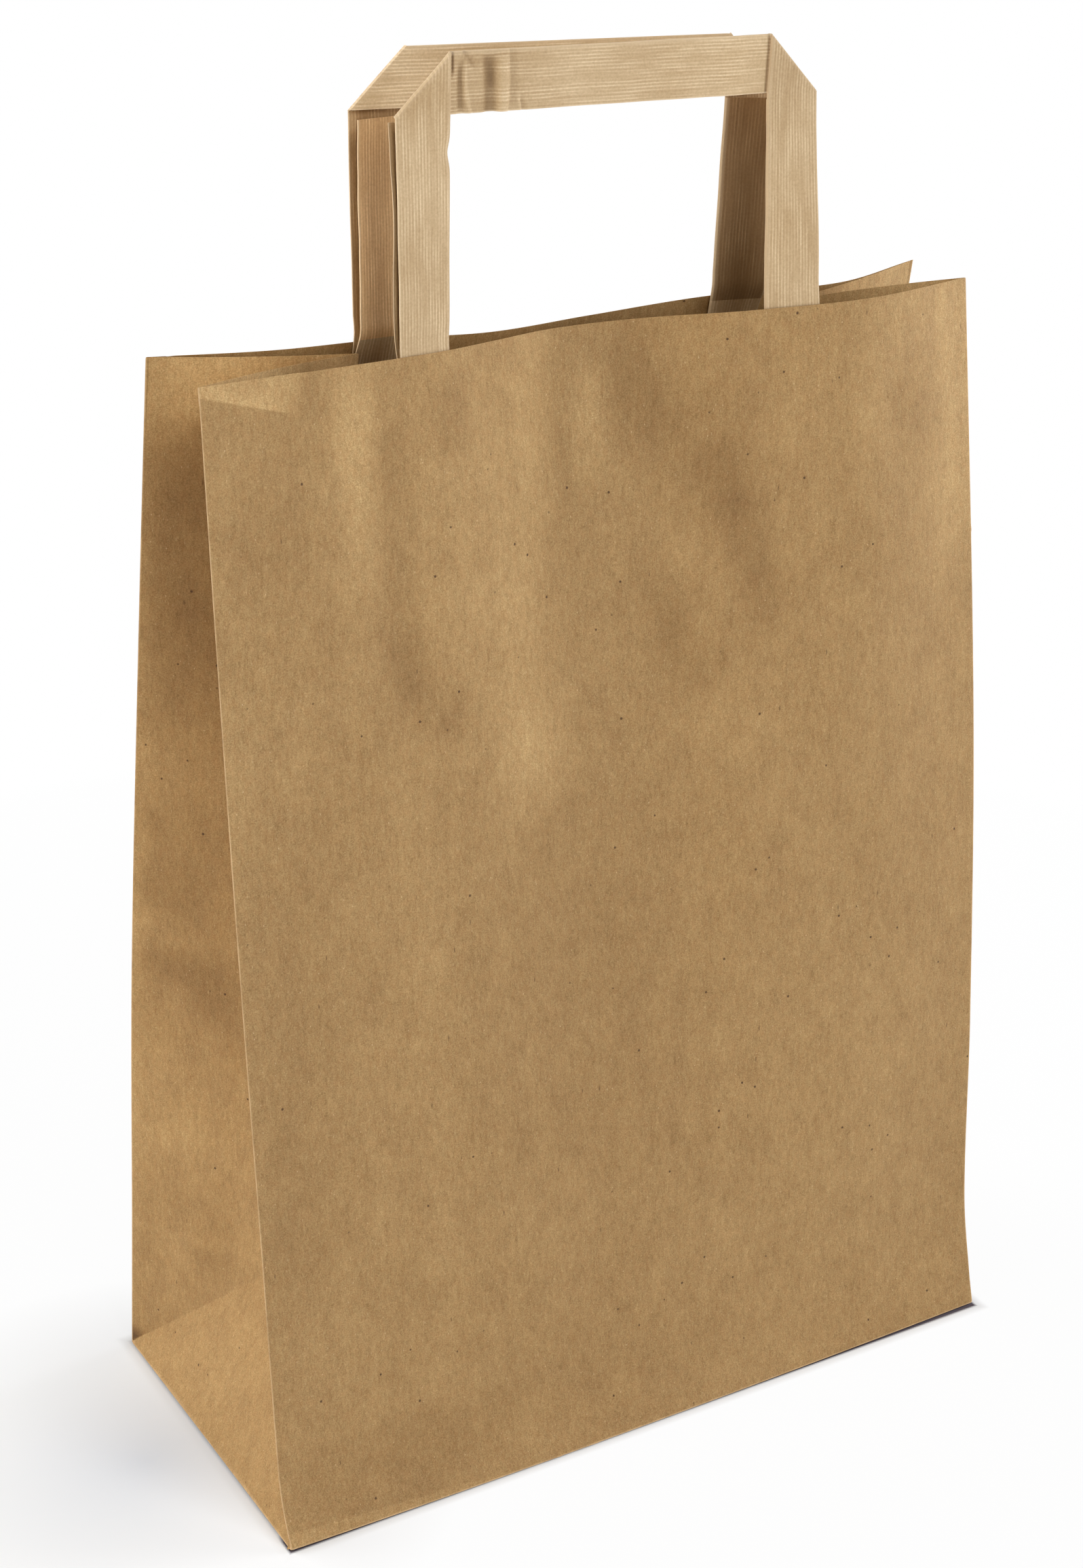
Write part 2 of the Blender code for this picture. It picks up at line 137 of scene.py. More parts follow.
# Painted light and shade where the paper has bent: lighter and darker clouds by the same places and
# reaches, and a share of its colour, which CLOUD_GAIN strengthens.
CLOUD_GAIN = 1.5
CLOUD_POWER = 3
FRONT_PAINTED_SHADING = (
    (-0.65, 0.93, 0.050, 0.10, 0.23),
    (-0.57, 0.85, 0.040, 0.11, -0.09),
    (-0.55, 0.745, 0.060, 0.035, -0.14),
    (-0.46, 0.710, 0.060, 0.022, -0.11),
    (-0.33, 0.85, 0.170, 0.130, 0.10),
    (-0.17, 0.93, 0.055, 0.080, 0.12),
    (-0.25, 0.745, 0.070, 0.045, 0.10),
    (-0.40, 0.945, 0.055, 0.030, -0.13),
    (-0.08, 0.88, 0.028, 0.10, -0.04),
    (0.10, 0.955, 0.060, 0.045, -0.13),
    (0.18, 0.905, 0.055, 0.040, -0.09),
    (0.27, 0.865, 0.065, 0.040, -0.14),
    (0.33, 0.820, 0.055, 0.050, -0.13),
    (0.19, 0.800, 0.035, 0.025, 0.06),
    (0.15, 0.745, 0.050, 0.040, -0.09),
    (0.37, 0.765, 0.055, 0.040, -0.09),
    (0.20, 0.700, 0.090, 0.022, -0.06),
    (0.50, 0.930, 0.060, 0.060, 0.05),
    (0.66, 0.885, 0.070, 0.040, 0.06),
    (0.97, 0.900, 0.090, 0.120, 0.17),
    (0.80, 0.970, 0.160, 0.045, 0.09),
    (0.90, 0.820, 0.090, 0.060, 0.05),
    (-0.98, 0.710, 0.060, 0.055, 0.09),
    (-0.86, 0.880, 0.090, 0.050, -0.06),
    (-0.55, 0.450, 0.055, 0.270, 0.05),
    (-0.90, 0.285, 0.090, 0.060, -0.09),
    (-0.88, 0.480, 0.130, 0.130, -0.06),
    (-0.70, 0.045, 0.300, 0.035, -0.07),
    (-0.10, 0.060, 0.360, 0.060, -0.05),
    (-0.12, 0.420, 0.320, 0.190, -0.06),
    (0.28, 0.635, 0.110, 0.022, 0.05),
    (0.55, 0.230, 0.350, 0.190, 0.04),
    (0.88, 0.760, 0.060, 0.060, 0.04),
    (0.985, 0.122, 0.030, 0.012, -0.10),
    (0.34, 0.925, 0.050, 0.030, -0.05),
    (-0.01, 0.925, 0.045, 0.045, 0.17),
    (0.76, 0.900, 0.060, 0.050, -0.05),
    (-0.23, 0.655, 0.100, 0.050, 0.17),
    (-0.32, 0.030, 0.100, 0.030, 0.07),
    (-0.93, 0.010, 0.060, 0.020, 0.06),
)
# The same painted light and shade for the halves of a pleat, with a painted shadow at the foot of its
# outer fold: place along from 0 at the middle fold to 1, height on the paper in metres, reaches and share.
PLEAT_PAINTED_SHADING = (
    (0.68, 0.346, 0.30, 0.012, 0.60),
    (0.82, 0.332, 0.20, 0.008, 0.10),
    (0.76, 0.290, 0.26, 0.042, -0.25),
    (0.78, 0.316, 0.22, 0.014, -0.12),
    (0.55, 0.255, 0.22, 0.030, -0.09),
    (0.78, 0.223, 0.27, 0.013, 0.12),
    (0.50, 0.190, 0.22, 0.017, -0.08),
    (0.78, 0.1790, 0.20, 0.0090, -0.13),
    (0.93, 0.1690, 0.13, 0.0036, 0.14),
    (0.73, 0.1630, 0.13, 0.0036, 0.10),
    (0.75, 0.1530, 0.30, 0.0065, -0.17),
    (0.45, 0.148, 0.20, 0.013, -0.20),
    (0.80, 0.096, 0.30, 0.024, 0.16),
    (0.42, 0.098, 0.27, 0.022, 0.07),
    (0.68, 0.046, 0.15, 0.0045, 0.10),
    (0.38, 0.050, 0.13, 0.0060, -0.11),
    (1.00, 0.200, 0.07, 0.130, 0.14),
    (0.99, 0.002, 0.13, 0.0050, -0.75),
)
# The small turned corner at the top left of the front, and the creased band along the front foot: the
# height where each crease meets the left fold, measured from the nearer edge, how it slopes, and how far
# from that fold it reaches.
FLAP_DROP, FLAP_SLOPE, FLAP_REACH = 0.0030, 0.29, 0.030
BAND_RISE, BAND_SLOPE, BAND_REACH = 0.0048, 0.045, 0.085
CREASE_WIDTH = 0.0006
CREASE_SPREAD = 0.006
FLAP_END, FLAP_END_SLANT = 0.004, 0.4  # how softly and how slantwise the turned corner ends
FLAP_BEND = 0.06
# Tones, as shares of the paper's colour, and how wide the line of an old crease is. The turned corner at
# the top left of the front is painted lighter, with a painted highlight along its crease.
FLAP_TONE, FLAP_CREASE_TONE = 0.30, 0.20
# The band along the front foot: painted light below its crease, painted shade just above it.
BAND_TONE, BAND_SHADE = 0.11, 0.7
BACK_LINE_TONE, BACK_LINE_WIDTH = 0.06, 0.0016
PLEAT_TONE, PLEAT_LINE_TONE, PLEAT_LINE_WIDTH = 0.03, 0.13, 0.0012
# The flat triangles are painted lighter, most towards the back fold: painted light.
TRIANGLE_TONE, TRIANGLE_SLOPE_TONE = 0.08, 0.05
ONCE_FOLDED_TONE, ONCE_FOLDED_PLACE, ONCE_FOLDED_WIDTH = 0.13, 0.03, 0.025
ONCE_FOLDED_LOW, ONCE_FOLDED_HIGH = 0.035, 0.050
PANEL_COLUMNS = 96
PANEL_ROWS = 124
GUSSET_COLUMNS = 40
TRIANGLE_ROWS = 20
MERGE = 1e-5
HALF_WIDTH = PANEL_WIDTH / 2
HALF_DEPTH = GUSSET_DEPTH / 2
HEIGHT_ROWS = (FOLD_ROUND, PANEL_HEIGHT - FOLD_ROUND)


def smooth_through(points, at):
    """Height at a place of a smooth curve through the points."""
    if at <= points[0][0]:
        return points[0][1]
    if at >= points[-1][0]:
        return points[-1][1]
    last = max(i for i in range(len(points) - 1) if points[i][0] <= at)

    def slope(i):
        low, high = max(i - 1, 0), min(i + 1, len(points) - 1)
        return (points[high][1] - points[low][1]) / (points[high][0] - points[low][0])

    (x0, y0), (x1, y1) = points[last], points[last + 1]
    span = x1 - x0
    t = (at - x0) / span
    return (
        (1 + 2 * t) * (1 - t) ** 2 * y0
        + t * (1 - t) ** 2 * span * slope(last)
        + t * t * (3 - 2 * t) * y1
        + t * t * (t - 1) * span * slope(last + 1)
    )


def ramp(low, high, value):
    return min(max((value - low) / (high - low), 0.0), 1.0)


def smooth_step(low, high, value):
    t = ramp(low, high, value)
    return t * t * (3 - 2 * t)


def bell(off, width):
    return math.exp(-((off / width) ** 2))


def waves(kind, across, up, seed):
    """Smooth, irregular rise and fall of a kind: how often across and up, and how strong."""
    often_across, often_up, size = kind
    return size * noise.noise(Vector((across * often_across, up * often_up, seed)))


def soft_sum(marks, across, up, power=2):
    """Sum of soft round marks at a place. A higher power makes each one flatter, with a firmer border."""
    total = 0.0
    for x, z, reach_x, reach_z, size in marks:
        off_x, off_z = abs(across - x) / reach_x, abs(up - z) / reach_z
        total += size * math.exp(-(off_x**power) - off_z**power)
    return total


FRONT = dict(
    out=-1, seed=3.0, mouth=FRONT_MOUTH, left=FRONT_LEFT_SWAY, right=FRONT_RIGHT_SWAY, dents=FRONT_DENTS
)
BACK = dict(out=1, seed=9.0, mouth=BACK_MOUTH, left=BACK_LEFT_SWAY, right=BACK_RIGHT_SWAY, dents=BACK_DENTS)
RIPPLE_SEED, TRIANGLE_SEED, PLEAT_SEED, PLEAT_RIPPLE_SEED = 20, 5.0, 7.0, 3


def toe(out, across):
    """How far the foot of a big panel stands forward of a straight base edge."""
    return TOE_REACH * smooth_step(TOE_END, -1.0, across) if out < 0 else 0.0


def toe_behind(across, along):
    """The same on the base and the pleats: along is -1 at the front fold and 1 at the back one."""
    return toe(-1, across) * max(0.0, -along) ** TOE_FADE


def base_y(out, across):
    return out * (HALF_DEPTH + BASE_BULGE * (1 - across * across))


def above_flap_crease(x, y):
    """Height above the crease of the turned corner. The place is measured on the flat panel."""
    return y - (PANEL_HEIGHT - FLAP_DROP - FLAP_SLOPE * x)


def corner_flap(x, y):
    """Share of the way into the small turned corner at the top left of the front."""
    past = x + FLAP_END_SLANT * (PANEL_HEIGHT - y)
    ends = smooth_step(FLAP_REACH + FLAP_END, FLAP_REACH - FLAP_END, past)
    return ramp(0.0, CREASE_WIDTH, above_flap_crease(x, y)) * ends


def below_band_crease(x, y):
    return BAND_RISE - BAND_SLOPE * x - y


def relief(panel, across, up):
    """How far the dented paper stands out of the plain panel."""
    free = smooth_step(1.0, 1 - FLAT_AT_FOLD, abs(across)) * smooth_step(0.0, FLAT_AT_FOOT, up)
    free *= 1 - MOUTH_STIFFNESS * smooth_step(1 - FLAT_AT_MOUTH, 1.0, up)
    wave = waves(PANEL_WAVES, across, up, panel["seed"])
    ripple = waves(PANEL_RIPPLES, across, up, panel["seed"] + RIPPLE_SEED)
    height = free * (soft_sum(panel["dents"], across, up) + wave + ripple)
    if panel is FRONT:
        x, y = (across + 1) * HALF_WIDTH, up * PANEL_HEIGHT
        height -= FLAP_BEND * corner_flap(x, y) * above_flap_crease(x, y)
    return height


def panel_point(panel, across, up):
    """A point on the outside of a big panel: across from -1 at the left fold to 1, up from 0 to 1."""
    foot_y = base_y(panel["out"], across)
    mouth_y = smooth_through(panel["mouth"], across)
    mouth_z = math.sqrt(PANEL_HEIGHT**2 - (mouth_y - panel["out"] * HALF_DEPTH) ** 2)
    left, right = smooth_through(panel["left"], up), smooth_through(panel["right"], up)
    sway = left + (right - left) * (across + 1) / 2
    kick = toe(panel["out"], across) * (1 - smooth_step(0.0, TOE_HEIGHT, up * PANEL_HEIGHT))
    out = relief(panel, across, up) + kick
    x = (HALF_WIDTH - MOUTH_DRAW_IN * up * up) * across
    return Vector((x, foot_y + (mouth_y - foot_y) * up + sway + panel["out"] * out, mouth_z * up))


def crease_height(along):
    """Height on the paper of the 45 degree creases that rise from the corners of the base."""
    return HALF_DEPTH * (1 - abs(along))


def gusset_low(side, along, height):
    """A point of the flat triangle below the 45 degree creases."""
    dent = waves(TRIANGLE_WAVES, along, height, side * TRIANGLE_SEED)
    dent *= math.sin(math.pi * ramp(0.0, crease_height(along) + MERGE, height))
    x = side * (HALF_WIDTH - height * math.sin(GUSSET_TILT) - dent)
    return Vector((x, HALF_DEPTH * along - toe_behind(side, along), height * math.cos(GUSSET_TILT)))


def flat_fold(along):
    """Height of the crease that stays from lying flat. It climbs from the outer folds to the middle one."""
    outer = FLAT_FOLD_BACK if along > 0 else FLAT_FOLD_FRONT
    return outer + (FLAT_FOLD_MIDDLE - outer) * (1 - abs(along))


def between_folds(along):
    """Nothing at the folds of a pleat, and 1 half way between two."""
    return 4 * abs(along) * (1 - abs(along))


def gusset_relief(side, along, height):
    """How far a pleat's half stands out of its plain shape."""
    seed = side * PLEAT_SEED
    soft = waves(PLEAT_WAVES, along, height, seed)
    soft += waves(PLEAT_RIPPLES, along, height, seed + PLEAT_RIPPLE_SEED)
    for start, climb in CROSSED_CREASES:
        soft += CROSSED_RISE * bell(height - start - climb * (1 - abs(along)), CROSSED_WIDTH)
    ridge = RIDGE_RISE * bell(height - flat_fold(along), RIDGE_WIDTH)
    calm = smooth_step(PANEL_HEIGHT, PANEL_HEIGHT - PLEAT_CALM, height)
    return between_folds(along) * (soft * calm + ridge)


def gusset_high(side, along, up):
    """A point above the creases: along from -1 at the front fold to 1, up from 0 at the crease to 1."""
    front, back = (panel_point(panel, side, 1.0) for panel in (FRONT, BACK))
    reach = math.sqrt(HALF_DEPTH**2 - ((back.y - front.y) / 2) ** 2)
    shift = LEFT_FOLD_SHIFT if side < 0 else RIGHT_FOLD_SHIFT
    fold_top = Vector(
        (front.x - side * reach, (front.y + back.y) / 2 + shift, min(front.z, back.z) - GUSSET_SAG)
    )
    panel = FRONT if along < 0 else BACK
    corner = panel_point(panel, side, 1.0)
    foot = panel_point(panel, side, 0.0)
    sway = panel_point(panel, side, up) - foot.lerp(corner, up)
    crease_at = gusset_low(side, along, crease_height(along))
    mouth = corner.lerp(fold_top, 1 - abs(along))
    mouth.y -= panel["out"] * GUSSET_BOW * between_folds(along)
    place = crease_at.lerp(mouth, up) + sway * abs(along)
    height = crease_height(along) + up * (PANEL_HEIGHT - crease_height(along))
    place.x += side * gusset_relief(side, along, height) * smooth_step(0.0, GUSSET_FOOT, up)
    return place


def flat_sheet(width, height, columns, rows):
    """A flat rectangle of faces in X and Y with its lower left corner at the origin."""
    sheet = bmesh.new()
    place = Matrix.Diagonal((width, height, 1.0, 1.0)) @ Matrix.Translation((0.5, 0.5, 0.0))
    bmesh.ops.create_grid(sheet, x_segments=columns, y_segments=rows, size=0.5, matrix=place)
    return sheet


def crease(sheet, point, normal):
    """Splits every face of the flat sheet along a straight line."""
    everything = sheet.verts[:] + sheet.edges[:] + sheet.faces[:]
    bmesh.ops.bisect_plane(
        sheet, geom=everything, dist=MERGE / 10, plane_co=(*point, 0.0), plane_no=(*normal, 0.0)
    )


def crease_lines(sheet, at_x=(), at_y=()):
    for x in at_x:
        crease(sheet, (x, 0), (1, 0))
    for y in at_y:
        crease(sheet, (0, y), (0, 1))


def add_folded(target, sheet, place, marks, thickness=None):
    """Moves each point of the flat sheet where place puts it, and adds the sheet to the target.

    The flat place stays as the UV map. marks gives the tone, much of it painted light and shade, the
    rubbing and painted highlight, and, where it matters, the painted bounce light of a point, kept as
    attributes. thickness gives the share of the Solidify modifier's own thickness, kept as a weight.
    """
    weights = sheet.verts.layers.deform.verify()
    tone = sheet.verts.layers.float.new("tone")
    wear_and_highlight = sheet.verts.layers.float.new("wear_and_highlight")
    painted_bounce = sheet.verts.layers.float.new("painted_bounce")
    flat = sheet.loops.layers.uv.new("flat")
    for face in sheet.faces:
        for loop in face.loops:
            loop[flat].uv = loop.vert.co.xy
    for vert in sheet.verts:
        x, y = vert.co.xy
        vert[tone], vert[wear_and_highlight], *more = marks(x, y)
        vert[painted_bounce] = more[0] if more else 0.0
        if thickness:
            vert[weights][0] = thickness(x, y)
        vert.co = place(x, y)
    scratch = bpy.data.meshes.new("scratch")
    sheet.to_mesh(scratch)
    sheet.free()
    target.from_mesh(scratch)
    bpy.data.meshes.remove(scratch)


def add_object(name, bm):
    bmesh.ops.remove_doubles(bm, verts=bm.verts[:], dist=MERGE)
    bmesh.ops.recalc_face_normals(bm, faces=bm.faces[:])
    mesh = bpy.data.meshes.new(name)
    bm.to_mesh(mesh)
    bm.free()
    obj = bpy.data.objects.new(name, mesh)
    bpy.context.scene.collection.objects.link(obj)
    return obj


def thicken(obj, thickness, offset, varies, even=True):
    solid = obj.modifiers.new("Paper", "SOLIDIFY")
    solid.thickness = thickness
    solid.offset = offset
    solid.use_even_offset = even
    solid.material_offset_rim = 1
    if varies:
        solid.vertex_group = obj.vertex_groups.new(name="thickness").name


def hidden_block(name, low_ring, high_ring):
    """A closed block between two rings of points, for a Boolean."""
    bm = bmesh.new()
    low = [bm.verts.new(point) for point in low_ring]
    high = [bm.verts.new(point) for point in high_ring]
    bm.faces.new(low)
    bm.faces.new(high)
    for i, vert in enumerate(low):
        bm.faces.new((low[i - 1], vert, high[i], high[i - 1]))
    return add_object(name, bm)


def upright_block(name, outline, low, high):
    return hidden_block(name, [(x, y, low) for x, y in outline], [(x, y, high) for x, y in outline])


def combine(obj, block, operation):
    step = obj.modifiers.new(block.name, "BOOLEAN")
    step.operation = operation
    step.object = block
    step.solver = "EXACT"


def bake_down(obj, blocks=()):
    """Puts the modifiers' result in the mesh itself, and shades all but the real corners smoothly."""
    bpy.context.view_layer.update()
    graph = bpy.context.evaluated_depsgraph_get()
    shown = obj.evaluated_get(graph)
    mesh = bpy.data.meshes.new_from_object(shown, preserve_all_data_layers=True, depsgraph=graph)
    obj.modifiers.clear()
    obj.data = mesh
    for block in blocks:
        bpy.data.objects.remove(block, do_unlink=True)
    mesh.shade_smooth()
    mesh.set_sharp_from_angle(angle=CORNER_ANGLE)
    return obj


def floor_ring(height, inset):
    """Points round the bag at a small height over the base, inside its outer face by the inset."""
    columns = [2 * i / PANEL_COLUMNS - 1 for i in range(PANEL_COLUMNS + 1)]
    shrink = 1 - inset / HALF_WIDTH
    rings = []
    for panel, order in ((FRONT, columns), (BACK, columns[::-1])):
        for across in order:
            point = panel_point(panel, across, height / PANEL_HEIGHT)
            rings.append((point.x * shrink, point.y - panel["out"] * inset, height))
        side = -panel["out"]
        clear_of_crease = 1 - (inset + BASE_PLIES * PAPER) / HALF_DEPTH
        for along in (-side * clear_of_crease, side * clear_of_crease):
            point = gusset_low(side, along, height)
            rings.append((point.x - side * inset, point.y, height))
    return rings


def single_ply(x, y):
    return ONE_PLY


def worn_and_lit(*distances):
    """Rubbing and painted highlight of a point, by its distances from the folds and edges near it."""
    return max(ramp(FOLD_ROUND, 0.0, distance) for distance in distances)


def add_panels(target):
    """The front and back panels and the base, each from a flat sheet with its corner at the left fold."""
    seam = (SEAM_INSET, SEAM_INSET + STEP_RUN, SEAM_INSET + SEAM_WIDTH - STEP_RUN, SEAM_INSET + SEAM_WIDTH)
    depth_rows = (FOLD_ROUND, HALF_DEPTH - FOLD_ROUND, HALF_DEPTH + FOLD_ROUND, GUSSET_DEPTH - FOLD_ROUND)
    flap_rise = PANEL_HEIGHT - FLAP_DROP
    slants = (
        (flap_rise, FLAP_SLOPE),
        (flap_rise + CREASE_WIDTH, FLAP_SLOPE),
        (BAND_RISE, BAND_SLOPE),
        (BAND_RISE - CREASE_WIDTH, BAND_SLOPE),
    )

    def sheet_of(height, rows, ends, slants=()):
        sheet = flat_sheet(PANEL_WIDTH, height, PANEL_COLUMNS, rows)
        for rise, slope in slants:
            crease(sheet, (0, rise), (slope, 1))
        crease_lines(sheet, (*seam, FOLD_ROUND, PANEL_WIDTH - FOLD_ROUND), ends)
        return sheet

    def seam_plies(x, y):
        return ONE_PLY + ONE_PLY * min(ramp(seam[0], seam[1], x), ramp(seam[3], seam[2], x))

    def front_place(x, y):
        return panel_point(FRONT, x / HALF_WIDTH - 1, y / PANEL_HEIGHT)

    def back_place(x, y):
        under = ramp(0.0, seam[0], x) * ramp(seam[1], seam[0], x)
        outside = panel_point(BACK, x / HALF_WIDTH - 1, y / PANEL_HEIGHT)
        return outside - Vector((0.0, PAPER * under * ramp(0.0, seam[3], y), 0.0))

    def base_place(x, y):
        across = x / HALF_WIDTH - 1
        side = y / HALF_DEPTH - 1
        return Vector((x - HALF_WIDTH, base_y(side, across) - toe_behind(across, side), 0.0))

    def front_marks(x, y):
        # Painted light on the turned corner, and a painted highlight along its crease.
        by_crease = ramp(CREASE_SPREAD, 0.0, above_flap_crease(x, y))
        tone = corner_flap(x, y) * (FLAP_TONE + FLAP_CREASE_TONE * by_crease)
        # Painted light on the band below the foot's crease, painted shade in the crease above it.
        under = below_band_crease(x, y)
        band = ramp(0.0, CREASE_WIDTH, under)
        if under < 0:
            band -= BAND_SHADE * ramp(CREASE_SPREAD, 0.0, -under)
        tone += BAND_TONE * band * smooth_step(BAND_REACH, BAND_REACH / 2, x)
        # Painted light and shade of the front's dents and bends.
        clouds = soft_sum(FRONT_PAINTED_SHADING, x / HALF_WIDTH - 1, y / PANEL_HEIGHT, CLOUD_POWER)
        return tone + CLOUD_GAIN * clouds, worn_and_lit(x, PANEL_WIDTH - x, y)

    def back_marks(x, y):
        return BACK_LINE_TONE * bell(y - FLAT_FOLD_BACK, BACK_LINE_WIDTH), worn_and_lit(x, PANEL_WIDTH - x, y)

    def base_marks(x, y):
        return 0.0, worn_and_lit(x, PANEL_WIDTH - x, y, GUSSET_DEPTH - y)

    front_sheet = sheet_of(PANEL_HEIGHT, PANEL_ROWS, HEIGHT_ROWS, slants)
    back_sheet = sheet_of(PANEL_HEIGHT, PANEL_ROWS, HEIGHT_ROWS)
    base_sheet = sheet_of(GUSSET_DEPTH, GUSSET_COLUMNS, depth_rows)
    add_folded(target, front_sheet, front_place, front_marks, single_ply)
    add_folded(target, back_sheet, back_place, back_marks, seam_plies)
    add_folded(target, base_sheet, base_place, base_marks, single_ply)


def add_pleats(target):
    """The pleated sides, each from a sheet for its flat triangle and one for what stands above."""
    near_fold = FOLD_ROUND / HALF_DEPTH

    def low_marks(x, y):
        height = y * crease_height(x)
        once_folded = bell(x - ONCE_FOLDED_PLACE, ONCE_FOLDED_WIDTH)
        once_folded *= smooth_step(ONCE_FOLDED_HIGH, ONCE_FOLDED_LOW, height)
        # TRIANGLE_TONE and TRIANGLE_SLOPE_TONE are painted light on the flat triangle.
        return TRIANGLE_TONE + TRIANGLE_SLOPE_TONE * x + ONCE_FOLDED_TONE * once_folded, worn_and_lit(height)

    def high_marks(x, y):
        height = crease_height(x) + y * (PANEL_HEIGHT - crease_height(x))
        fold_line = PLEAT_LINE_TONE * bell(height - flat_fold(x), PLEAT_LINE_WIDTH)
        # Painted light and shade on the pleat, and a painted shadow at the foot of its outer fold.
        cloud = soft_sum(PLEAT_PAINTED_SHADING, abs(x), height, CLOUD_POWER)
        return fold_line + cloud + PLEAT_TONE, worn_and_lit((1 - abs(x)) * HALF_DEPTH)

    low_rows = (near_fold, 1 - near_fold)
    high_rows = [row / PANEL_HEIGHT for row in HEIGHT_ROWS]
    for side in (-1, 1):

        def low_place(x, y):
            return gusset_low(side, x, y * crease_height(x))

        def high_place(x, y):
            return gusset_high(side, x, y)

        for rows, lines, place, marks in (
            (TRIANGLE_ROWS, low_rows, low_place, low_marks),
            (PANEL_ROWS, high_rows, high_place, high_marks),
        ):
            sheet = flat_sheet(2.0, 1.0, GUSSET_COLUMNS, rows)
            bmesh.ops.translate(sheet, verts=sheet.verts[:], vec=(-1.0, 0.0, 0.0))
            crease_lines(sheet, (near_fold - 1, -near_fold, near_fold, 1 - near_fold), lines)
            add_folded(target, sheet, place, marks, single_ply)


def make_bag_sheet():
    bm = bmesh.new()
    add_panels(bm)
    add_pleats(bm)
    bmesh.ops.remove_doubles(bm, verts=bm.verts[:], dist=MERGE)
    folds = set()
    for edge in bm.edges:
        if len(edge.link_faces) == 2 and edge.calc_face_angle() > FOLD_ANGLE:
            folds.update(edge.verts)
    bmesh.ops.smooth_vert(
        bm, verts=list(folds), factor=0.5, use_axis_x=True, use_axis_y=True, use_axis_z=True
    )
    body = add_object("kraft_sheet", bm)
    thicken(body, 2 * PAPER, -1.0, varies=True)
    return bake_down(body, fold_base(body))


def fold_base(body):
    """Adds the plies of the folded base, with a step where each flap ends. Returns the blocks it used."""
    low_ring, high_ring = (floor_ring(height, FOLD_ROUND) for height in (PAPER / 2, BASE_PLIES * PAPER))
    blocks = [hidden_block("folded_floor", low_ring, high_ring)]
    end = HALF_WIDTH - BASE_FOLD
    edge = HALF_DEPTH - BASE_FOLD
    tip = end - edge
    for side, place in ((-1, "left"), (1, "right")):
        outline = [(side * end, -edge), (side * end, edge), (side * tip, 0.0)]
        blocks.append(upright_block(f"{place}_end_recess", outline, -PAPER, (BASE_PLIES - 1) * PAPER))
    lap = BASE_OVERLAP / 2
    slant_end = end - BASE_FOLD
    back_flap = [
        (-slant_end, edge),
        (lap + edge - slant_end, lap),
        (slant_end - edge - lap, lap),
        (slant_end, edge),
    ]
    blocks.append(upright_block("back_flap_recess", back_flap, -PAPER, PAPER))
    for block in blocks:
        combine(body, block, "UNION" if block is blocks[0] else "DIFFERENCE")
    return blocks


SHADE_POWERS = (("Red", 0.83), ("Green", 1.0), ("Blue", 1.24))


class Recipe:
    """A small helper that adds shader nodes and joins them."""

    def __init__(self, name):
        self.material = bpy.data.materials.new(name)
        self.material.use_nodes = True
        self.nodes = self.material.node_tree.nodes
        self.links = self.material.node_tree.links
        self.shader = self.nodes["Principled BSDF"]
        self.output = self.nodes["Material Output"]

    def put(self, socket, value):
        if isinstance(value, bpy.types.NodeSocket):
            self.links.new(value, socket)
        else:
            socket.default_value = value

    def add(self, kind, inputs=(), **settings):
        node = self.nodes.new(kind)
        for key, value in settings.items():
            setattr(node, key, value)
        for key, value in dict(inputs).items():
            self.put(node.inputs[key], value)
        return node

    def math(self, operation, a, b=0.0):
        return self.add("ShaderNodeMath", {0: a, 1: b}, operation=operation).outputs[0]

    def sum(self, *parts):
        """Adds up values, each times its own weight."""
        total = None
        for value, weight in parts:
            part = self.math("MULTIPLY", value, weight)
            total = part if total is None else self.math("ADD", total, part)
        return total

    def object_place(self):
        return self.add("ShaderNodeTexCoord").outputs["Object"]

    def split(self, vector):
        return self.add("ShaderNodeSeparateXYZ", {"Vector": vector}).outputs

    def stretched(self, vector, scale):
        return self.add("ShaderNodeMapping", {"Vector": vector, "Scale": scale}).outputs[0]

    def cloud(self, vector, scale, detail=2.0, roughness=0.5):
        inputs = {"Vector": vector, "Scale": scale, "Detail": detail, "Roughness": roughness}
        return self.add("ShaderNodeTexNoise", inputs).outputs["Fac"]

    def spread(self, value, low, high, to_low=0.0, to_high=1.0):
        inputs = {"Value": value, "From Min": low, "From Max": high, "To Min": to_low, "To Max": to_high}
        return self.add("ShaderNodeMapRange", inputs).outputs[0]

    def attribute(self, name):
        return self.add("ShaderNodeAttribute", attribute_name=name).outputs["Fac"]

    def mix(self, factor, a, b, blend="MIX"):
        inputs = {0: factor, 6: a, 7: b}
        return self.add("ShaderNodeMix", inputs, data_type="RGBA", blend_type=blend).outputs[2]

    def tint(self, colour, other):
        return self.mix(1.0, colour, other, "MULTIPLY")

    def times(self, colour, factor):
        """Multiplies a colour. Darkening makes it a little warmer, as shade on kraft does."""
        channels = {channel: self.math("POWER", factor, power) for channel, power in SHADE_POWERS}
        return self.tint(colour, self.add("ShaderNodeCombineColor", channels).outputs[0])

    def bump(self, height, strength, distance):
        inputs = {"Height": height, "Strength": strength, "Distance": distance}
        return self.add("ShaderNodeBump", inputs).outputs["Normal"]

    def finish(self, inputs):
        """Joins or sets the shader's own sockets, and gives the material."""
        for name, value in inputs.items():
            self.put(self.shader.inputs[name], value)
        return self.material


def rgb(red, green, blue):
    """A linear colour from 0 to 255 values as a screen shows them."""
    linear = []
    for value in (red, green, blue):
        value /= 255
        linear.append(value / 12.92 if value <= 0.04045 else ((value + 0.055) / 1.055) ** 2.4)
    return (*linear, 1.0)


KRAFT = rgb(183, 150, 101)
KRAFT_DARK = rgb(146, 113, 68)
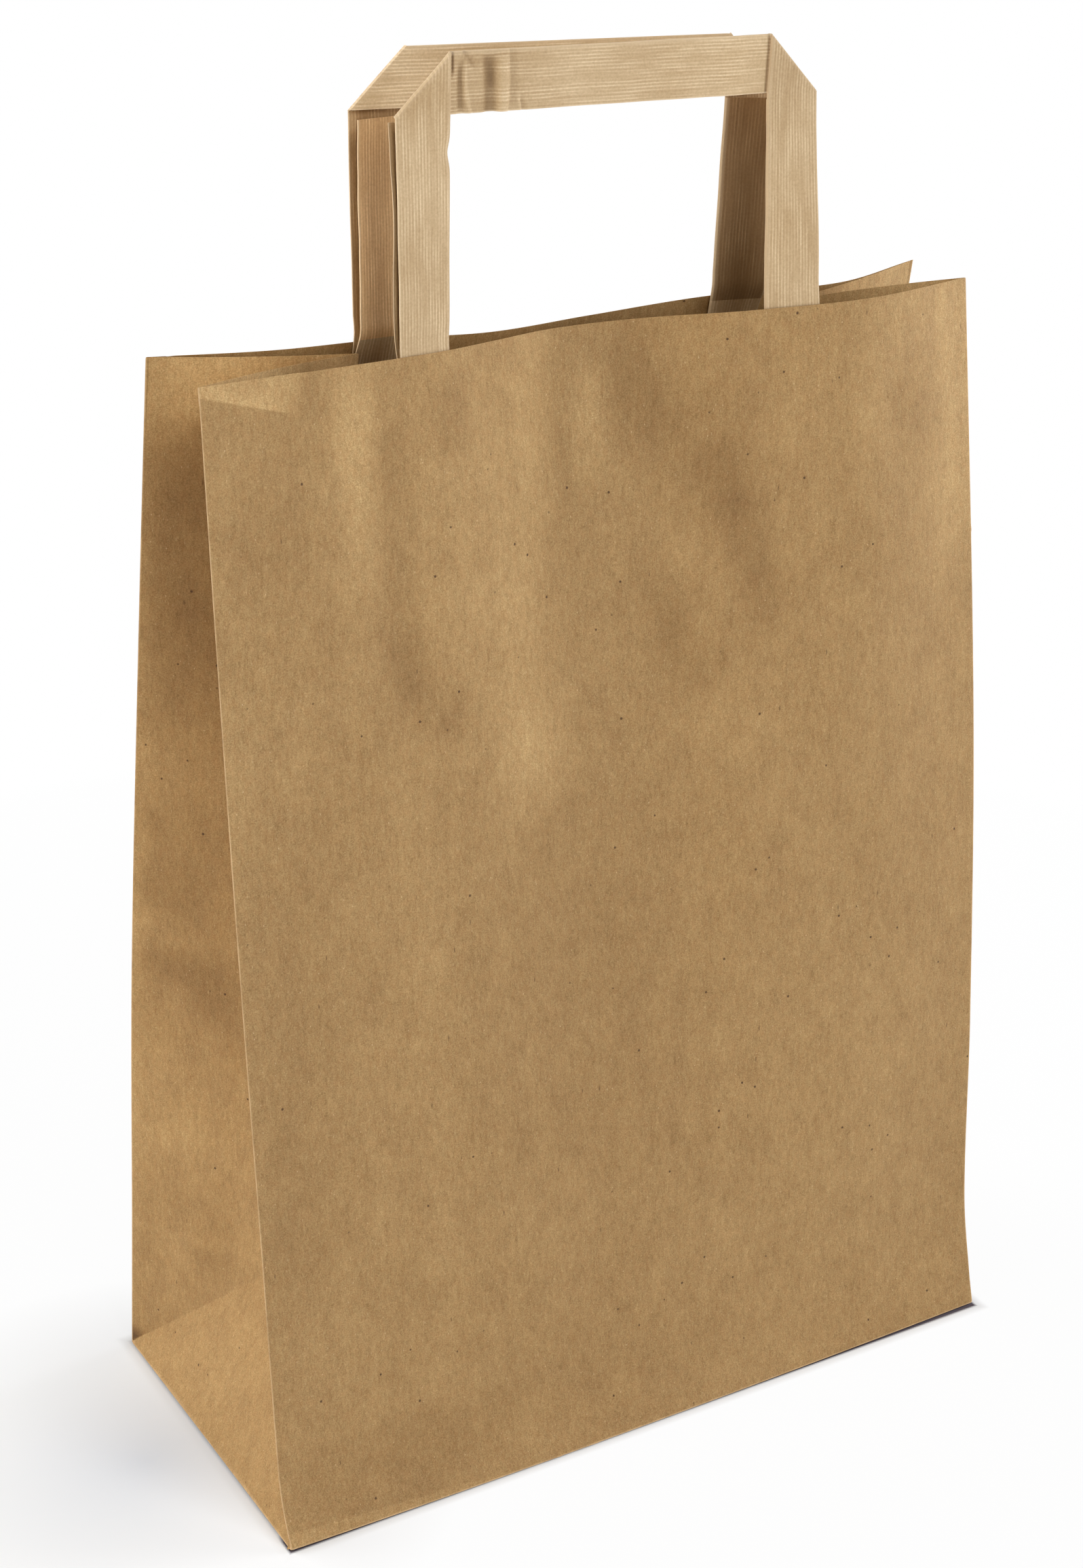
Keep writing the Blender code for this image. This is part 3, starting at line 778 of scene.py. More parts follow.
# Folds and edges are paler: partly rubbed, partly a painted highlight along them.
KRAFT_WORN_AND_LIT = rgb(224, 190, 146)
BARK_SPECK = rgb(84, 56, 32)
PALE_FIBRE = rgb(226, 198, 156)
RUSTY = rgb(172, 127, 78)
STALK = rgb(140, 100, 60)
CUT_EDGE = rgb(218, 172, 116)
CUT_EDGE_DARK = rgb(192, 142, 84)
# Small marks, from the lowest to the uppermost: how often their places come along X, Y and Z in a metre,
# how far from a place a mark starts to fade and ends, the share of places that have one and the channel
# that picks them, how strong a mark is, and its colour.
FLECKS = (
    ((520.0, 520.0, 330.0), 0.030, 0.110, 0.45, "Red", 0.55, PALE_FIBRE),
    ((1100.0, 900.0, 210.0), 0.030, 0.150, 0.50, "Red", 0.38, PALE_FIBRE),
    ((900.0, 1100.0, 230.0), 0.030, 0.150, 0.40, "Blue", 0.42, STALK),
    ((170.0, 170.0, 160.0), 0.045, 0.085, 0.40, "Green", 0.95, BARK_SPECK),
    ((210.0, 210.0, 50.0), 0.025, 0.060, 0.70, "Green", 0.65, BARK_SPECK),
)
KRAFT_CONTRAST = (0.358, 0.576)  # the closer together, the stronger the mottling
ROUGHNESS_OF_KRAFT = (0.62, 0.76)
PAPER_TOOTH = 0.00012  # height of the fibres that stand out of a sheet


def kraft_material():
    """Unbleached kraft: finely mottled, streaked along the web, with bark specks and pale fibres."""
    make = Recipe("kraft paper")
    place = make.object_place()

    def pattern(along_x, along_y, along_z, detail=3.0, roughness=0.6):
        """A cloudy pattern with so many clouds in a metre along each axis."""
        return make.cloud(make.stretched(place, (along_x, along_y, along_z)), 1.0, detail, roughness)

    broad = pattern(42.0, 42.0, 42.0)
    mottle = pattern(150.0, 150.0, 90.0)
    web = pattern(620.0, 620.0, 170.0, roughness=0.65)
    streaks = pattern(1500.0, 1500.0, 420.0, detail=2.0)
    grain = pattern(2600.0, 2600.0, 2600.0, detail=1.0)
    shade = make.sum((broad, 0.11), (mottle, 0.20), (web, 0.20), (streaks, 0.21), (grain, 0.20))
    colour = make.mix(make.spread(shade, *KRAFT_CONTRAST), KRAFT_DARK, KRAFT)
    redder = pattern(760.0, 760.0, 500.0, detail=1.0, roughness=0.5)
    colour = make.mix(make.spread(redder, 0.35, 0.70, 0.0, 0.30), colour, RUSTY)
    fine = make.spread(grain, 0.25, 0.75, 0.85, 1.15)
    # The tone attribute darkens and lightens the colour: mostly painted light and shade, with a few real
    # crease lines.
    tone = make.math("ADD", make.attribute("tone"), 1.0)
    colour = make.times(colour, make.math("MULTIPLY", fine, tone))
    for spacing, near, far, share, channel, strength, mark_colour in FLECKS:
        cells = make.add("ShaderNodeTexVoronoi", {"Vector": make.stretched(place, spacing), "Scale": 1.0})
        chance = make.add("ShaderNodeSeparateColor", {"Color": cells.outputs["Color"]}).outputs[channel]
        chosen = make.math("LESS_THAN", chance, share)
        spot = make.spread(cells.outputs["Distance"], near, far, strength, 0.0)
        colour = make.mix(make.math("MULTIPLY", spot, chosen), colour, mark_colour)
    # Folds and edges turn paler, in patches: partly rubbing, partly a painted highlight.
    rubbed_and_lit = make.math("MULTIPLY", make.attribute("wear_and_highlight"), make.spread(mottle, 0.35, 0.6, 0.45, 0.95))
    height = make.sum((grain, 0.4), (streaks, 0.7), (mottle, 1.4))
    return make.finish(
        {
            "Base Color": make.mix(rubbed_and_lit, colour, KRAFT_WORN_AND_LIT),
            "Roughness": make.spread(mottle, 0.3, 0.7, *ROUGHNESS_OF_KRAFT),
            "Specular IOR Level": 0.35,
            "Normal": make.bump(height, 0.5, PAPER_TOOTH),
        }
    )


def cut_edge_material():
    """The bare core of the paper, where a knife or a fold has opened it."""
    make = Recipe("cut paper edge")
    fuzz = make.cloud(make.object_place(), 1200.0, 2.0, 0.6)
    return make.finish({"Base Color": make.mix(fuzz, CUT_EDGE_DARK, CUT_EDGE), "Roughness": 0.85})


kraft = kraft_material()
cut_edge = cut_edge_material()

bag_sheet = make_bag_sheet()
for paper in (kraft, cut_edge):
    bag_sheet.data.materials.append(paper)
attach(bag_sheet, "root")
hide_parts("bag_body")

# Each handle is a flat strip of several plies of finely ribbed kraft, folded lengthwise and turned at 45
# degrees where a leg meets the bar. Its legs are glued to the inside of a big panel. Hands have gaped
# their open edges and crushed the front bar a little near its left end.
HANDLE_WIDTH = 0.1344
STRIP_WIDTH = 0.0163
LEAF = 0.00045
LEAF_PITCH = 0.0009
FOLD_REACH = 0.00025
LEG_GLUED = 0.042
LEG_BEND = 0.008
GAPE_START = 0.008  # the leaves of a leg start to part this far below the mouth
GLUE_GAP = 0.0003
STRIP_STEP = 0.0010
STRIP_COLUMNS = 28
BEND_STEPS = 8
SLIT_WIDTH = 0.0007
PINCH_DEPTH, PINCH_NOTCH = 0.0009, 0.0004
PINCH_DROP, PINCH_TALL, PINCH_WIDE = 0.010, 0.0030, 0.004
LEAN_STEP = 0.1  # share of a panel's height over which its lean at the mouth is taken
BAR_HOLD, LEG_HOLD = 0.004, 0.012  # the glue keeps the strip flat this far past a fold and a rim
STRIP_WAVES = (55.0, 60.0, 0.00045)
GAPE_WAVES = (90.0, 1.0, 0.12)
GAPE_SEED = 4.0
CRUSH_WAVES = (400.0, 3.0, 0.35)
CRUSH_SOFT = 0.08  # share of the bar's height over which a crease of it fades out
# The front bar's creases: where each lies along the bar from its middle, at the foot, half way up and at
# the top, its reach to the left and the right, the shares of the bar's height it spans, how far it is
# pressed in, and its painted shade as a share of its colour, a painted highlight where it is positive.
CRUSHED = (
    ((-0.0474, -0.0475, -0.0472), 0.0014, 0.0010, 0.05, 0.80, 0.0006, -0.38),
    ((-0.0448, -0.0465, -0.0463), 0.0004, 0.0006, -0.2, 0.80, -0.0002, 0.22),
    ((-0.0383, -0.0384, -0.0388), 0.0023, 0.0019, -0.2, 0.90, 0.0009, -0.36),
    ((-0.0377, -0.0377, -0.0377), 0.0014, 0.0012, 0.40, 0.75, 0.0000, -0.14),
    ((-0.0349, -0.0346, -0.0346), 0.0014, 0.0013, -0.2, 0.86, -0.0006, 0.17),
    ((-0.0325, -0.0322, -0.0326), 0.0006, 0.0018, 0.10, 1.20, 0.0003, -0.11),
    ((-0.0290, -0.0302, -0.0310), 0.0003, 0.0013, -0.2, 0.22, 0.0003, -0.15),
    ((-0.0294, -0.0306, -0.0314), 0.0004, 0.0004, -0.2, 0.22, 0.0000, 0.18),
    ((-0.0350, -0.0410, -0.0468), 0.0005, 0.0010, 0.72, 1.20, 0.0003, -0.28),
    ((-0.0468, -0.0468, -0.0468), 0.0005, 0.0007, 0.95, 1.20, 0.0000, -0.35),
    ((0.0120, 0.0120, 0.0120), 0.0060, 0.0060, -0.2, 1.20, 0.0003, -0.02),
    ((0.0380, 0.0380, 0.0380), 0.0045, 0.0045, -0.2, 1.20, -0.0003, 0.03),
)
CRUSHED_FROM, CRUSHED_TO, CRUSHED_STEP = -0.0495, -0.0275, 0.0004
# Each handle by its place on the panel, its rise over the mouth, its slope and lean to the right, its
# bar's place and twist, its creases, how far its leaves stand apart from the mouth to the bar, and the
# share of that gap in view that lies in the light.
FRONT_HANDLE = dict(
    panel=FRONT,
    x=-0.0004,
    rise=0.0782,
    slope=math.radians(1.13),
    lean=0.008,
    bar_y=-0.0143,
    twist=-0.016,
    dents=CRUSHED,
    gape=((0.0, 0.0026), (0.3, 0.0026), (0.55, 0.0016), (0.8, 0.0027), (1.0, 0.0032)),
    lit=0.35,
    seed=2.0,
)
REAR_HANDLE = dict(
    panel=BACK,
    x=-0.0028,
    rise=0.0778,
    slope=math.radians(1.44),
    lean=0.021,
    bar_y=0.0083,
    twist=-0.059,
    dents=(),
    gape=((0.0, 0.0036), (0.5, 0.0040), (1.0, 0.0047)),
    lit=0.66,
    seed=6.0,
)
# Tones of the strips, as shares of their colour: mostly painted light and shade, as the light falls on each
# part, with painted shade in the slits and gaps. Pairs go from the rim to the bar, or from the bar's middle
# part to its end. GAP_SHADE is for the left and the right legs.
SLIT_SHADE = -0.8
SLIT_FROM, SLIT_TO = 0.009, 0.012  # the left slit shows this far up the bar
# The front bar is painted lighter towards its right end and darker near its left, and the rear bar lighter
# towards its left end: painted light and shade.
FRONT_BAR_LEFT, FRONT_BAR_RIGHT = -0.07, 0.16
FRONT_BAR_LEFT_REACH = (-0.01, -0.04)  # places along the bar from its middle
REAR_BAR = (0.10, 0.30)
LEG_TONE = -0.05
# Painted shade and a painted highlight beside the small dent in the front left leg.
PINCH_SHADE, PINCH_SHADE_RISE = -0.16, 0.001
PINCH_LIGHT, PINCH_LIGHT_RISE = 0.10, 0.002
# The front legs' tones, from the rim to the bar, and FRONT_RIGHT_MIDDLE are painted light and shade.
FRONT_LEFT_LEG, FRONT_RIGHT_LEG = (0.0, 0.07), (0.0, -0.06)
FRONT_RIGHT_MIDDLE = 0.32
# REAR_LEFT_LEG is painted light; REAR_RIGHT_LEG is a painted shadow.
REAR_LEFT_LEG, REAR_RIGHT_LEG = (0.44, 0.08), (-0.50, -0.57)
GAP_SEEN = 0.6  # of an open edge's gap, the share in view beside the nearer leaf
GAP_SHADE = (-0.90, -0.50)
GAP_SHADE_IN_CORNER, GAP_SHADE_FADE = 0.25, 0.003
GAP_LINE, GAP_LINES = 0.0004, range(2, 9)
DARKEST = -0.95
# Painted bounce light: how much light a face has from the kraft beside it, painted into its colour as a
# warm tint.
GAP_PAINTED_BOUNCE = 0.3
REAR_LEFT_PAINTED_BOUNCE, REAR_RIGHT_PAINTED_BOUNCE = (0.75, 0.75), (0.0, 0.5)


def between(ends, share):
    return ends[0] + (ends[1] - ends[0]) * share


def leg_centre(handle, side):
    return handle["x"] + side * (HANDLE_WIDTH - STRIP_WIDTH) / 2


def mouth_height(handle):
    """Z of the mouth where the legs pass it."""
    places = [leg_centre(handle, side) / HALF_WIDTH for side in (-1, 1)]
    return sum(panel_point(handle["panel"], across, 1.0).z for across in places) / 2


def inner_face(panel, x, z):
    """Y of the panel's inner face, carried on straight above the mouth."""
    across = x / HALF_WIDTH
    top = panel_point(panel, across, 1.0)
    up = min(z / top.z, 1.0)
    point = panel_point(panel, across, up)
    below = panel_point(panel, across, up - LEAN_STEP)
    lean = (point.y - below.y) / (point.z - below.z)
    return point.y + lean * max(z - top.z, 0.0) - panel["out"] * PAPER


def strip_lengths(handle):
    """Places along the flat strip: the end of the upper leaf, the two mitre folds, and the far end."""
    leg = LEG_GLUED + (handle["rise"] - STRIP_WIDTH)
    far_leg = leg + HANDLE_WIDTH
    return leg - 2 * LEAF_PITCH, leg, far_leg, far_leg + leg


def creased_strip(handle):
    """The flat strip, with its length along X and both of its halves side by side in Y."""
    leaf_end, leg, far_leg, length = strip_lengths(handle)
    sheet = flat_sheet(length, 2 * STRIP_WIDTH, round(length / STRIP_STEP), STRIP_COLUMNS)
    turn = FOLD_REACH * math.sqrt(2)
    for shift in (-turn, 0.0, turn):
        crease(sheet, (leg + shift, 0), (1, -1))
        crease(sheet, (far_leg + shift, 0), (1, 1))
    crease_lines(sheet, at_y=(STRIP_WIDTH - FOLD_REACH, STRIP_WIDTH + FOLD_REACH))
    for line in (FOLD_ROUND, *(GAP_LINE * step for step in GAP_LINES)):
        crease_lines(sheet, at_y=(line, 2 * STRIP_WIDTH - line))
    for line in (leg + STRIP_WIDTH + SLIT_WIDTH, far_leg - STRIP_WIDTH - SLIT_WIDTH):
        crease_lines(sheet, at_x=(line - SLIT_WIDTH, line, line + SLIT_WIDTH))
    bends = range(-BEND_STEPS, BEND_STEPS + 1)
    for line in (leaf_end, *(LEG_GLUED + LEG_BEND * step / BEND_STEPS for step in bends)):
        crease_lines(sheet, at_x=(line, length - line))
    if handle["dents"]:
        steps = range(round((CRUSHED_TO - CRUSHED_FROM) / CRUSHED_STEP) + 1)
        crushed_from = leg + HANDLE_WIDTH / 2 + CRUSHED_FROM
        crease_lines(sheet, at_x=[crushed_from + step * CRUSHED_STEP for step in steps])
    over_bar = []
    for face in sheet.faces:
        middle = face.calc_center_median()
        if middle.y > STRIP_WIDTH and leaf_end < middle.x < length - leaf_end:
            over_bar.append(face)
    bmesh.ops.delete(sheet, geom=over_bar, context="FACES")
    return sheet


def make_strip(name, handle):
    """Folds the strip. t runs along it, and c across it, from the open edge of the half on the bar."""
    panel = handle["panel"]
    half = HANDLE_WIDTH / 2
    bar_low = handle["rise"] - STRIP_WIDTH
    leaf_end, leg, far_leg, length = strip_lengths(handle)
    mouth_z = mouth_height(handle)

    def into_bar(t, across):
        """Distance past the nearer mitre fold, positive on the bar."""
        return min(t - leg - across, far_leg - across - t) / math.sqrt(2)

    def second_half(c):
        return ramp(STRIP_WIDTH - FOLD_REACH, STRIP_WIDTH + FOLD_REACH, c)

    def crush(crushed, x, across):
        """Share of one crease of the bar at a place."""
        (foot, middle, top), left, right, low, high = crushed[:5]
        up = across / STRIP_WIDTH
        off = x - smooth_through(((0.0, foot), (0.5, middle), (1.0, top)), up)
        ends = smooth_step(low - CRUSH_SOFT, low + CRUSH_SOFT, up)
        ends *= smooth_step(high + CRUSH_SOFT, high - CRUSH_SOFT, up)
        patchy = 1.0 + waves(CRUSH_WAVES, middle, up, 1.0)
        return patchy * ends * math.exp(-((off / (left if off < 0 else right)) ** 4))

    def pinch(x, z):
        """Share of the small dent in the inner fold of the front left leg."""
        if panel is BACK:
            return 0.0
        inner_fold = STRIP_WIDTH - half
        return bell(z - bar_low + PINCH_DROP, PINCH_TALL) * ramp(inner_fold - PINCH_WIDE, inner_fold, x)

    def open_edge(z):
        """How far the leaves stand apart at their open edge."""
        ripple = 1.0 + waves(GAPE_WAVES, z, handle["seed"], GAPE_SEED)
        return ripple * smooth_through(handle["gape"], ramp(0.0, bar_low, z))

    def place(t, c):
        across = min(c, 2 * STRIP_WIDTH - c)
        past_fold = into_bar(t, across)
        pressed = 0.0
        if past_fold > 0:
            x, z = t - leg - half, bar_low + across
            for crushed in handle["dents"]:
                pressed += crushed[5] * crush(crushed, x, across)
            pressed *= smooth_step(0.0, BAR_HOLD, past_fold)
        elif t < length / 2:
            x, z = across - half, t - LEG_GLUED
            pressed = PINCH_DEPTH * pinch(x, z)
            x -= PINCH_NOTCH * pinch(x, z)
        else:
            x, z = half - across, length - t - LEG_GLUED
        wave = waves(STRIP_WAVES, x, z, handle["seed"]) * smooth_step(0.0, LEG_HOLD, z)
        layers = max(ramp(-FOLD_REACH, FOLD_REACH, past_fold), second_half(c))
        inward = GLUE_GAP + LEAF / 2 + LEAF_PITCH * layers + pressed + wave
        turned_x = handle["x"] + x + z * handle["lean"]
        turned_z = mouth_z + z - x * math.tan(handle["slope"])
        cut_edge_z = panel_point(panel, turned_x / HALF_WIDTH, 1.0).z
        above = turned_z - cut_edge_z
        if c > STRIP_WIDTH:
            gape = open_edge(z) * smooth_step(-GAPE_START, LEG_BEND, above)
            inward += gape * (1 - across / STRIP_WIDTH)
        on_panel = inner_face(panel, turned_x, turned_z)
        at_mouth = inner_face(panel, turned_x, cut_edge_z)
        at_bar = handle["bar_y"] + handle["twist"] * (turned_x - handle["x"])
        upright = at_mouth + (at_bar - at_mouth) * min(z / bar_low, 1.0)
        y = on_panel + (upright - on_panel) * smooth_step(0.0, LEG_BEND, above)
        return Vector((turned_x, y - panel["out"] * inward, turned_z))

    def thickness(t, c):
        return ONE_PLY + ONE_PLY * ramp(0.0, FOLD_REACH, into_bar(t, min(c, 2 * STRIP_WIDTH - c)))

    def bar_tone(t, across):
        # Painted light and shade on the bar: in its creases, in the left slit and along its length.
        x = t - leg - half
        if panel is BACK:
            return between(REAR_BAR, ramp(2 * STRIP_WIDTH - half, STRIP_WIDTH - half, x))
        slit = ramp(SLIT_WIDTH, 0.0, abs(half - STRIP_WIDTH - SLIT_WIDTH - abs(x)))
        if x < 0:
            slit *= smooth_step(SLIT_FROM, SLIT_TO, across)
        tone = sum(crushed[6] * crush(crushed, x, across) for crushed in CRUSHED) + SLIT_SHADE * slit
        return tone + FRONT_BAR_RIGHT * ramp(0.0, half, x) + FRONT_BAR_LEFT * ramp(*FRONT_BAR_LEFT_REACH, x)

    def leg_look(t, c, across):
        """Painted light and shade and painted bounce light of a point of a leg. Its gap's painted shade grows
        dark inward.
        """
        along = min(t, length - t)
        z = along - LEG_GLUED
        up = ramp(0.0, bar_low, z)
        left = t < length / 2
        tone, painted_bounce = LEG_TONE, 0.0
        if left:
            tone += PINCH_SHADE * pinch(across - half, z + PINCH_SHADE_RISE)
            tone += PINCH_LIGHT * pinch(across - half, z - PINCH_LIGHT_RISE)
        if panel is FRONT:
            tone += between(FRONT_LEFT_LEG if left else FRONT_RIGHT_LEG, up)
            tone += 0.0 if left else FRONT_RIGHT_MIDDLE * up * (1 - up)
        # Painted shade in the gap between the leaves, darker inward from the open edge.
        if z > 0 and (c > STRIP_WIDTH) == (panel is FRONT):
            seen = across / (GAP_SEEN * open_edge(z))
            beneath = between((GAP_SHADE_IN_CORNER, 1.0), ramp(leaf_end, leaf_end - GAP_SHADE_FADE, along))
            tone += GAP_SHADE[0 if left else 1] * ramp(handle["lit"], 1.0, seen) * beneath
            painted_bounce = GAP_PAINTED_BOUNCE
        elif z > 0 and panel is BACK:
            tone += between(REAR_LEFT_LEG if left else REAR_RIGHT_LEG, up)
            painted_bounce = between(REAR_LEFT_PAINTED_BOUNCE if left else REAR_RIGHT_PAINTED_BOUNCE, up)
        return tone, painted_bounce

    def marks(t, c):
        across = min(c, 2 * STRIP_WIDTH - c)
        fold = ramp(2 * FOLD_REACH, 0.0, abs(into_bar(t, across)))
        lengthwise = ramp(FOLD_ROUND, 0.0, abs(c - STRIP_WIDTH))
        edge = ramp(FOLD_ROUND, 0.0, across)
        on_bar = into_bar(t, across) > 0
        tone, painted_bounce = (bar_tone(t, across), 0.0) if on_bar else leg_look(t, c, across)
        return max(tone, DARKEST), max(fold, lengthwise, edge), painted_bounce

    bm = bmesh.new()
    add_folded(bm, creased_strip(handle), place, marks, thickness)
    obj = add_object(name, bm)
    thicken(obj, 2 * LEAF, 0.0, varies=True, even=False)
    return bake_down(obj)


STRIP_PAPER = rgb(229, 205, 168)
STRIP_SHADE = rgb(176, 145, 103)
# Folds and open edges of the strip are paler: partly rubbing, partly a painted highlight.
STRIP_WORN_AND_LIT = rgb(230, 206, 172)
# The warm tint of that painted bounce light.
BOUNCED = (1.0, 0.78, 0.52, 1.0)  # light that reaches a face from the kraft beside it
DEEPEST_BEHIND = 0.2  # faces that look to the back are shaded by no more than this
RIB_PITCH = 0.00096
RIB_WANDER = 2.2
ROUGHNESS_OF_STRIP = (0.52, 0.66)


def ribbed_material():
    """Ribbed kraft: fine ribs run along the strip, some paler than others, over a streaky ground."""
    make = Recipe("ribbed kraft paper")
    place = make.object_place()
    flat = make.add("ShaderNodeUVMap", uv_map="flat").outputs[0]
    wander = make.cloud(place, 60.0, 1.0)
    across = make.sum((make.split(flat)["Y"], 2 * math.pi / RIB_PITCH), (wander, RIB_WANDER))
    rib = make.spread(make.math("SINE", across), -1.0, 1.0)
    streak = make.cloud(make.stretched(flat, (60.0, 1100.0, 1.0)), 1.0, 2.0, 0.6)
    strength = make.cloud(make.stretched(flat, (70.0, 330.0, 1.0)), 1.0, 1.0)
    broad = make.cloud(place, 38.0, 2.0)
    grain = make.cloud(place, 1500.0, 2.0, 0.7)
    sharp_rib = make.math("POWER", rib, 2.0)
    lines = make.math("MULTIPLY", sharp_rib, make.spread(strength, 0.35, 0.68, 0.10, 1.0))
    shade = make.sum((lines, 0.36), (streak, 0.34), (broad, 0.34))
    colour = make.mix(make.spread(shade, 0.20, 0.80), STRIP_SHADE, STRIP_PAPER)
    fine = make.spread(grain, 0.3, 0.7, 0.89, 1.11)
    # The tone attribute darkens and lightens the colour with painted light and shade; on faces that look to
    # the back its painted shade goes no deeper than DEEPEST_BEHIND.
    faces = make.add("ShaderNodeNewGeometry").outputs["Normal"]
    rearward = make.spread(make.split(faces)["Y"], -0.1, 0.1)
    marked = make.attribute("tone")
    deep = make.math("MINIMUM", make.math("ADD", marked, DEEPEST_BEHIND), 0.0)
    marked = make.math("SUBTRACT", marked, make.math("MULTIPLY", deep, rearward))
    tone = make.math("ADD", marked, 1.0)
    colour = make.times(colour, make.math("MULTIPLY", fine, tone))
    # Painted bounce light: the colour is tinted warm where a face takes light from the kraft beside it.
    colour = make.mix(make.attribute("painted_bounce"), colour, make.tint(colour, BOUNCED))
    # Folds and open edges turn paler: partly rubbing, partly a painted highlight.
    rubbed_and_lit = make.math("MULTIPLY", make.attribute("wear_and_highlight"), 0.55)
    height = make.sum((lines, 0.8), (grain, 0.25))
    return make.finish(
        {
            "Base Color": make.mix(rubbed_and_lit, colour, STRIP_WORN_AND_LIT),
            "Roughness": make.spread(streak, 0.3, 0.7, *ROUGHNESS_OF_STRIP),
            "Specular IOR Level": 0.4,
            "Normal": make.bump(height, 0.6, PAPER_TOOTH),
        }
    )


ribbed_kraft = ribbed_material()
for end, handle in (("front", FRONT_HANDLE), ("rear", REAR_HANDLE)):
    strip = make_strip(f"{end}_ribbed_strip", handle)
    for paper in (ribbed_kraft, cut_edge):
        strip.data.materials.append(paper)
    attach(strip, "root")
    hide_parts(f"{end}_handle")

# A patch of plain kraft is glued over the legs of each handle, inside the big panel, and climbs over
# each leg. It was pressed on while the glue was wet, so it follows the legs closely.
PATCH_WIDTH = 0.176
PATCH_HEIGHT = 0.042
PATCH_BELOW_MOUTH = 0.008
PATCH_RAMP = 0.006
PATCH_TONE = 0.04
PATCH_COLUMNS = 88
PATCH_ROWS = 22


def make_patch(name, handle):
    panel = handle["panel"]
    half_leg = STRIP_WIDTH / 2 + GLUE_GAP + STEP_RUN
    over_leg = 2 * GLUE_GAP + LEAF + LEAF_PITCH
    low_edge = mouth_height(handle) - PATCH_BELOW_MOUTH - PATCH_HEIGHT
    centres = [leg_centre(handle, side) for side in (-1, 1)]
    sheet = flat_sheet(PATCH_WIDTH, PATCH_HEIGHT, PATCH_COLUMNS, PATCH_ROWS)
    crease_lines(sheet, (FOLD_ROUND, PATCH_WIDTH - FOLD_ROUND), (FOLD_ROUND, PATCH_HEIGHT - FOLD_ROUND))

    def place(a, b):
        x = a - PATCH_WIDTH / 2
        z = low_edge + b
        shift = (z - mouth_height(handle)) * handle["lean"]
        off_leg = min(abs(x - centre - shift) for centre in centres)
        climb = smooth_step(half_leg + PATCH_RAMP, half_leg, off_leg)
        inward = GLUE_GAP + PAPER / 2 + (over_leg - GLUE_GAP) * climb
        return Vector((x, inner_face(panel, x, z) - panel["out"] * inward, z))

    def marks(a, b):
        edge = min(a, PATCH_WIDTH - a, b, PATCH_HEIGHT - b)
        return PATCH_TONE, ramp(FOLD_ROUND, 0.0, edge)

    bm = bmesh.new()
    add_folded(bm, sheet, place, marks)
    obj = add_object(name, bm)
    thicken(obj, PAPER, 0.0, varies=False)
    return bake_down(obj)


for end, handle in (("front", FRONT_HANDLE), ("rear", REAR_HANDLE)):
    patch = make_patch(f"{end}_glued_patch", handle)
    for paper in (kraft, cut_edge):
        patch.data.materials.append(paper)
    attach(patch, "root")
    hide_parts(f"{end}_patch")

# The bag stands on a studio floor of matt white card, under soft lamps all round it. The photograph's
# floor is blown out to white but for a soft shadow beside the bag's left end and a thin line at its foot.
FLOOR_SIZE = 8.0
FLOOR_DROP = 0.0006  # the crisp base folds hold the paper a little clear of the card
WHITE = (0.845, 0.862, 0.885, 1.0)
WHITER = (0.86, 0.875, 0.895, 1.0)
# Painted shadow: the card is darker and bluer beside the bag's left end.
SHADED_CARD = (0.70, 0.76, 0.85, 1.0)
# Painted contact shadow: a dark line along the bag's foot, and the card under the bag.
CONTACT_SHADOW = rgb(96, 88, 96)
SHADOW_PLACE = (-0.150, 0.0, 0.0)
SHADOW_REACH = (0.0, 0.10)
DEEP_SHADOW = (0.0, 0.06)
OPEN_REACH = (0.16, 0.50)  # the floor is fully white past the second of these distances
CONTACT_REACH = 0.004
CONTACT_SHADOW_ELSEWHERE = 0.2  # the share of the dark line at the foot that the other sides have
GLOW_IN_SHADOW, GLOW_NEAR = 0.0, 0.95


def make_floor():
    bm = bmesh.new()
    bmesh.ops.create_grid(bm, x_segments=1, y_segments=1, size=FLOOR_SIZE / 2)
    bmesh.ops.translate(bm, verts=bm.verts[:], vec=(0.0, 0.0, -FLOOR_DROP))
    return add_object("studio_floor", bm)


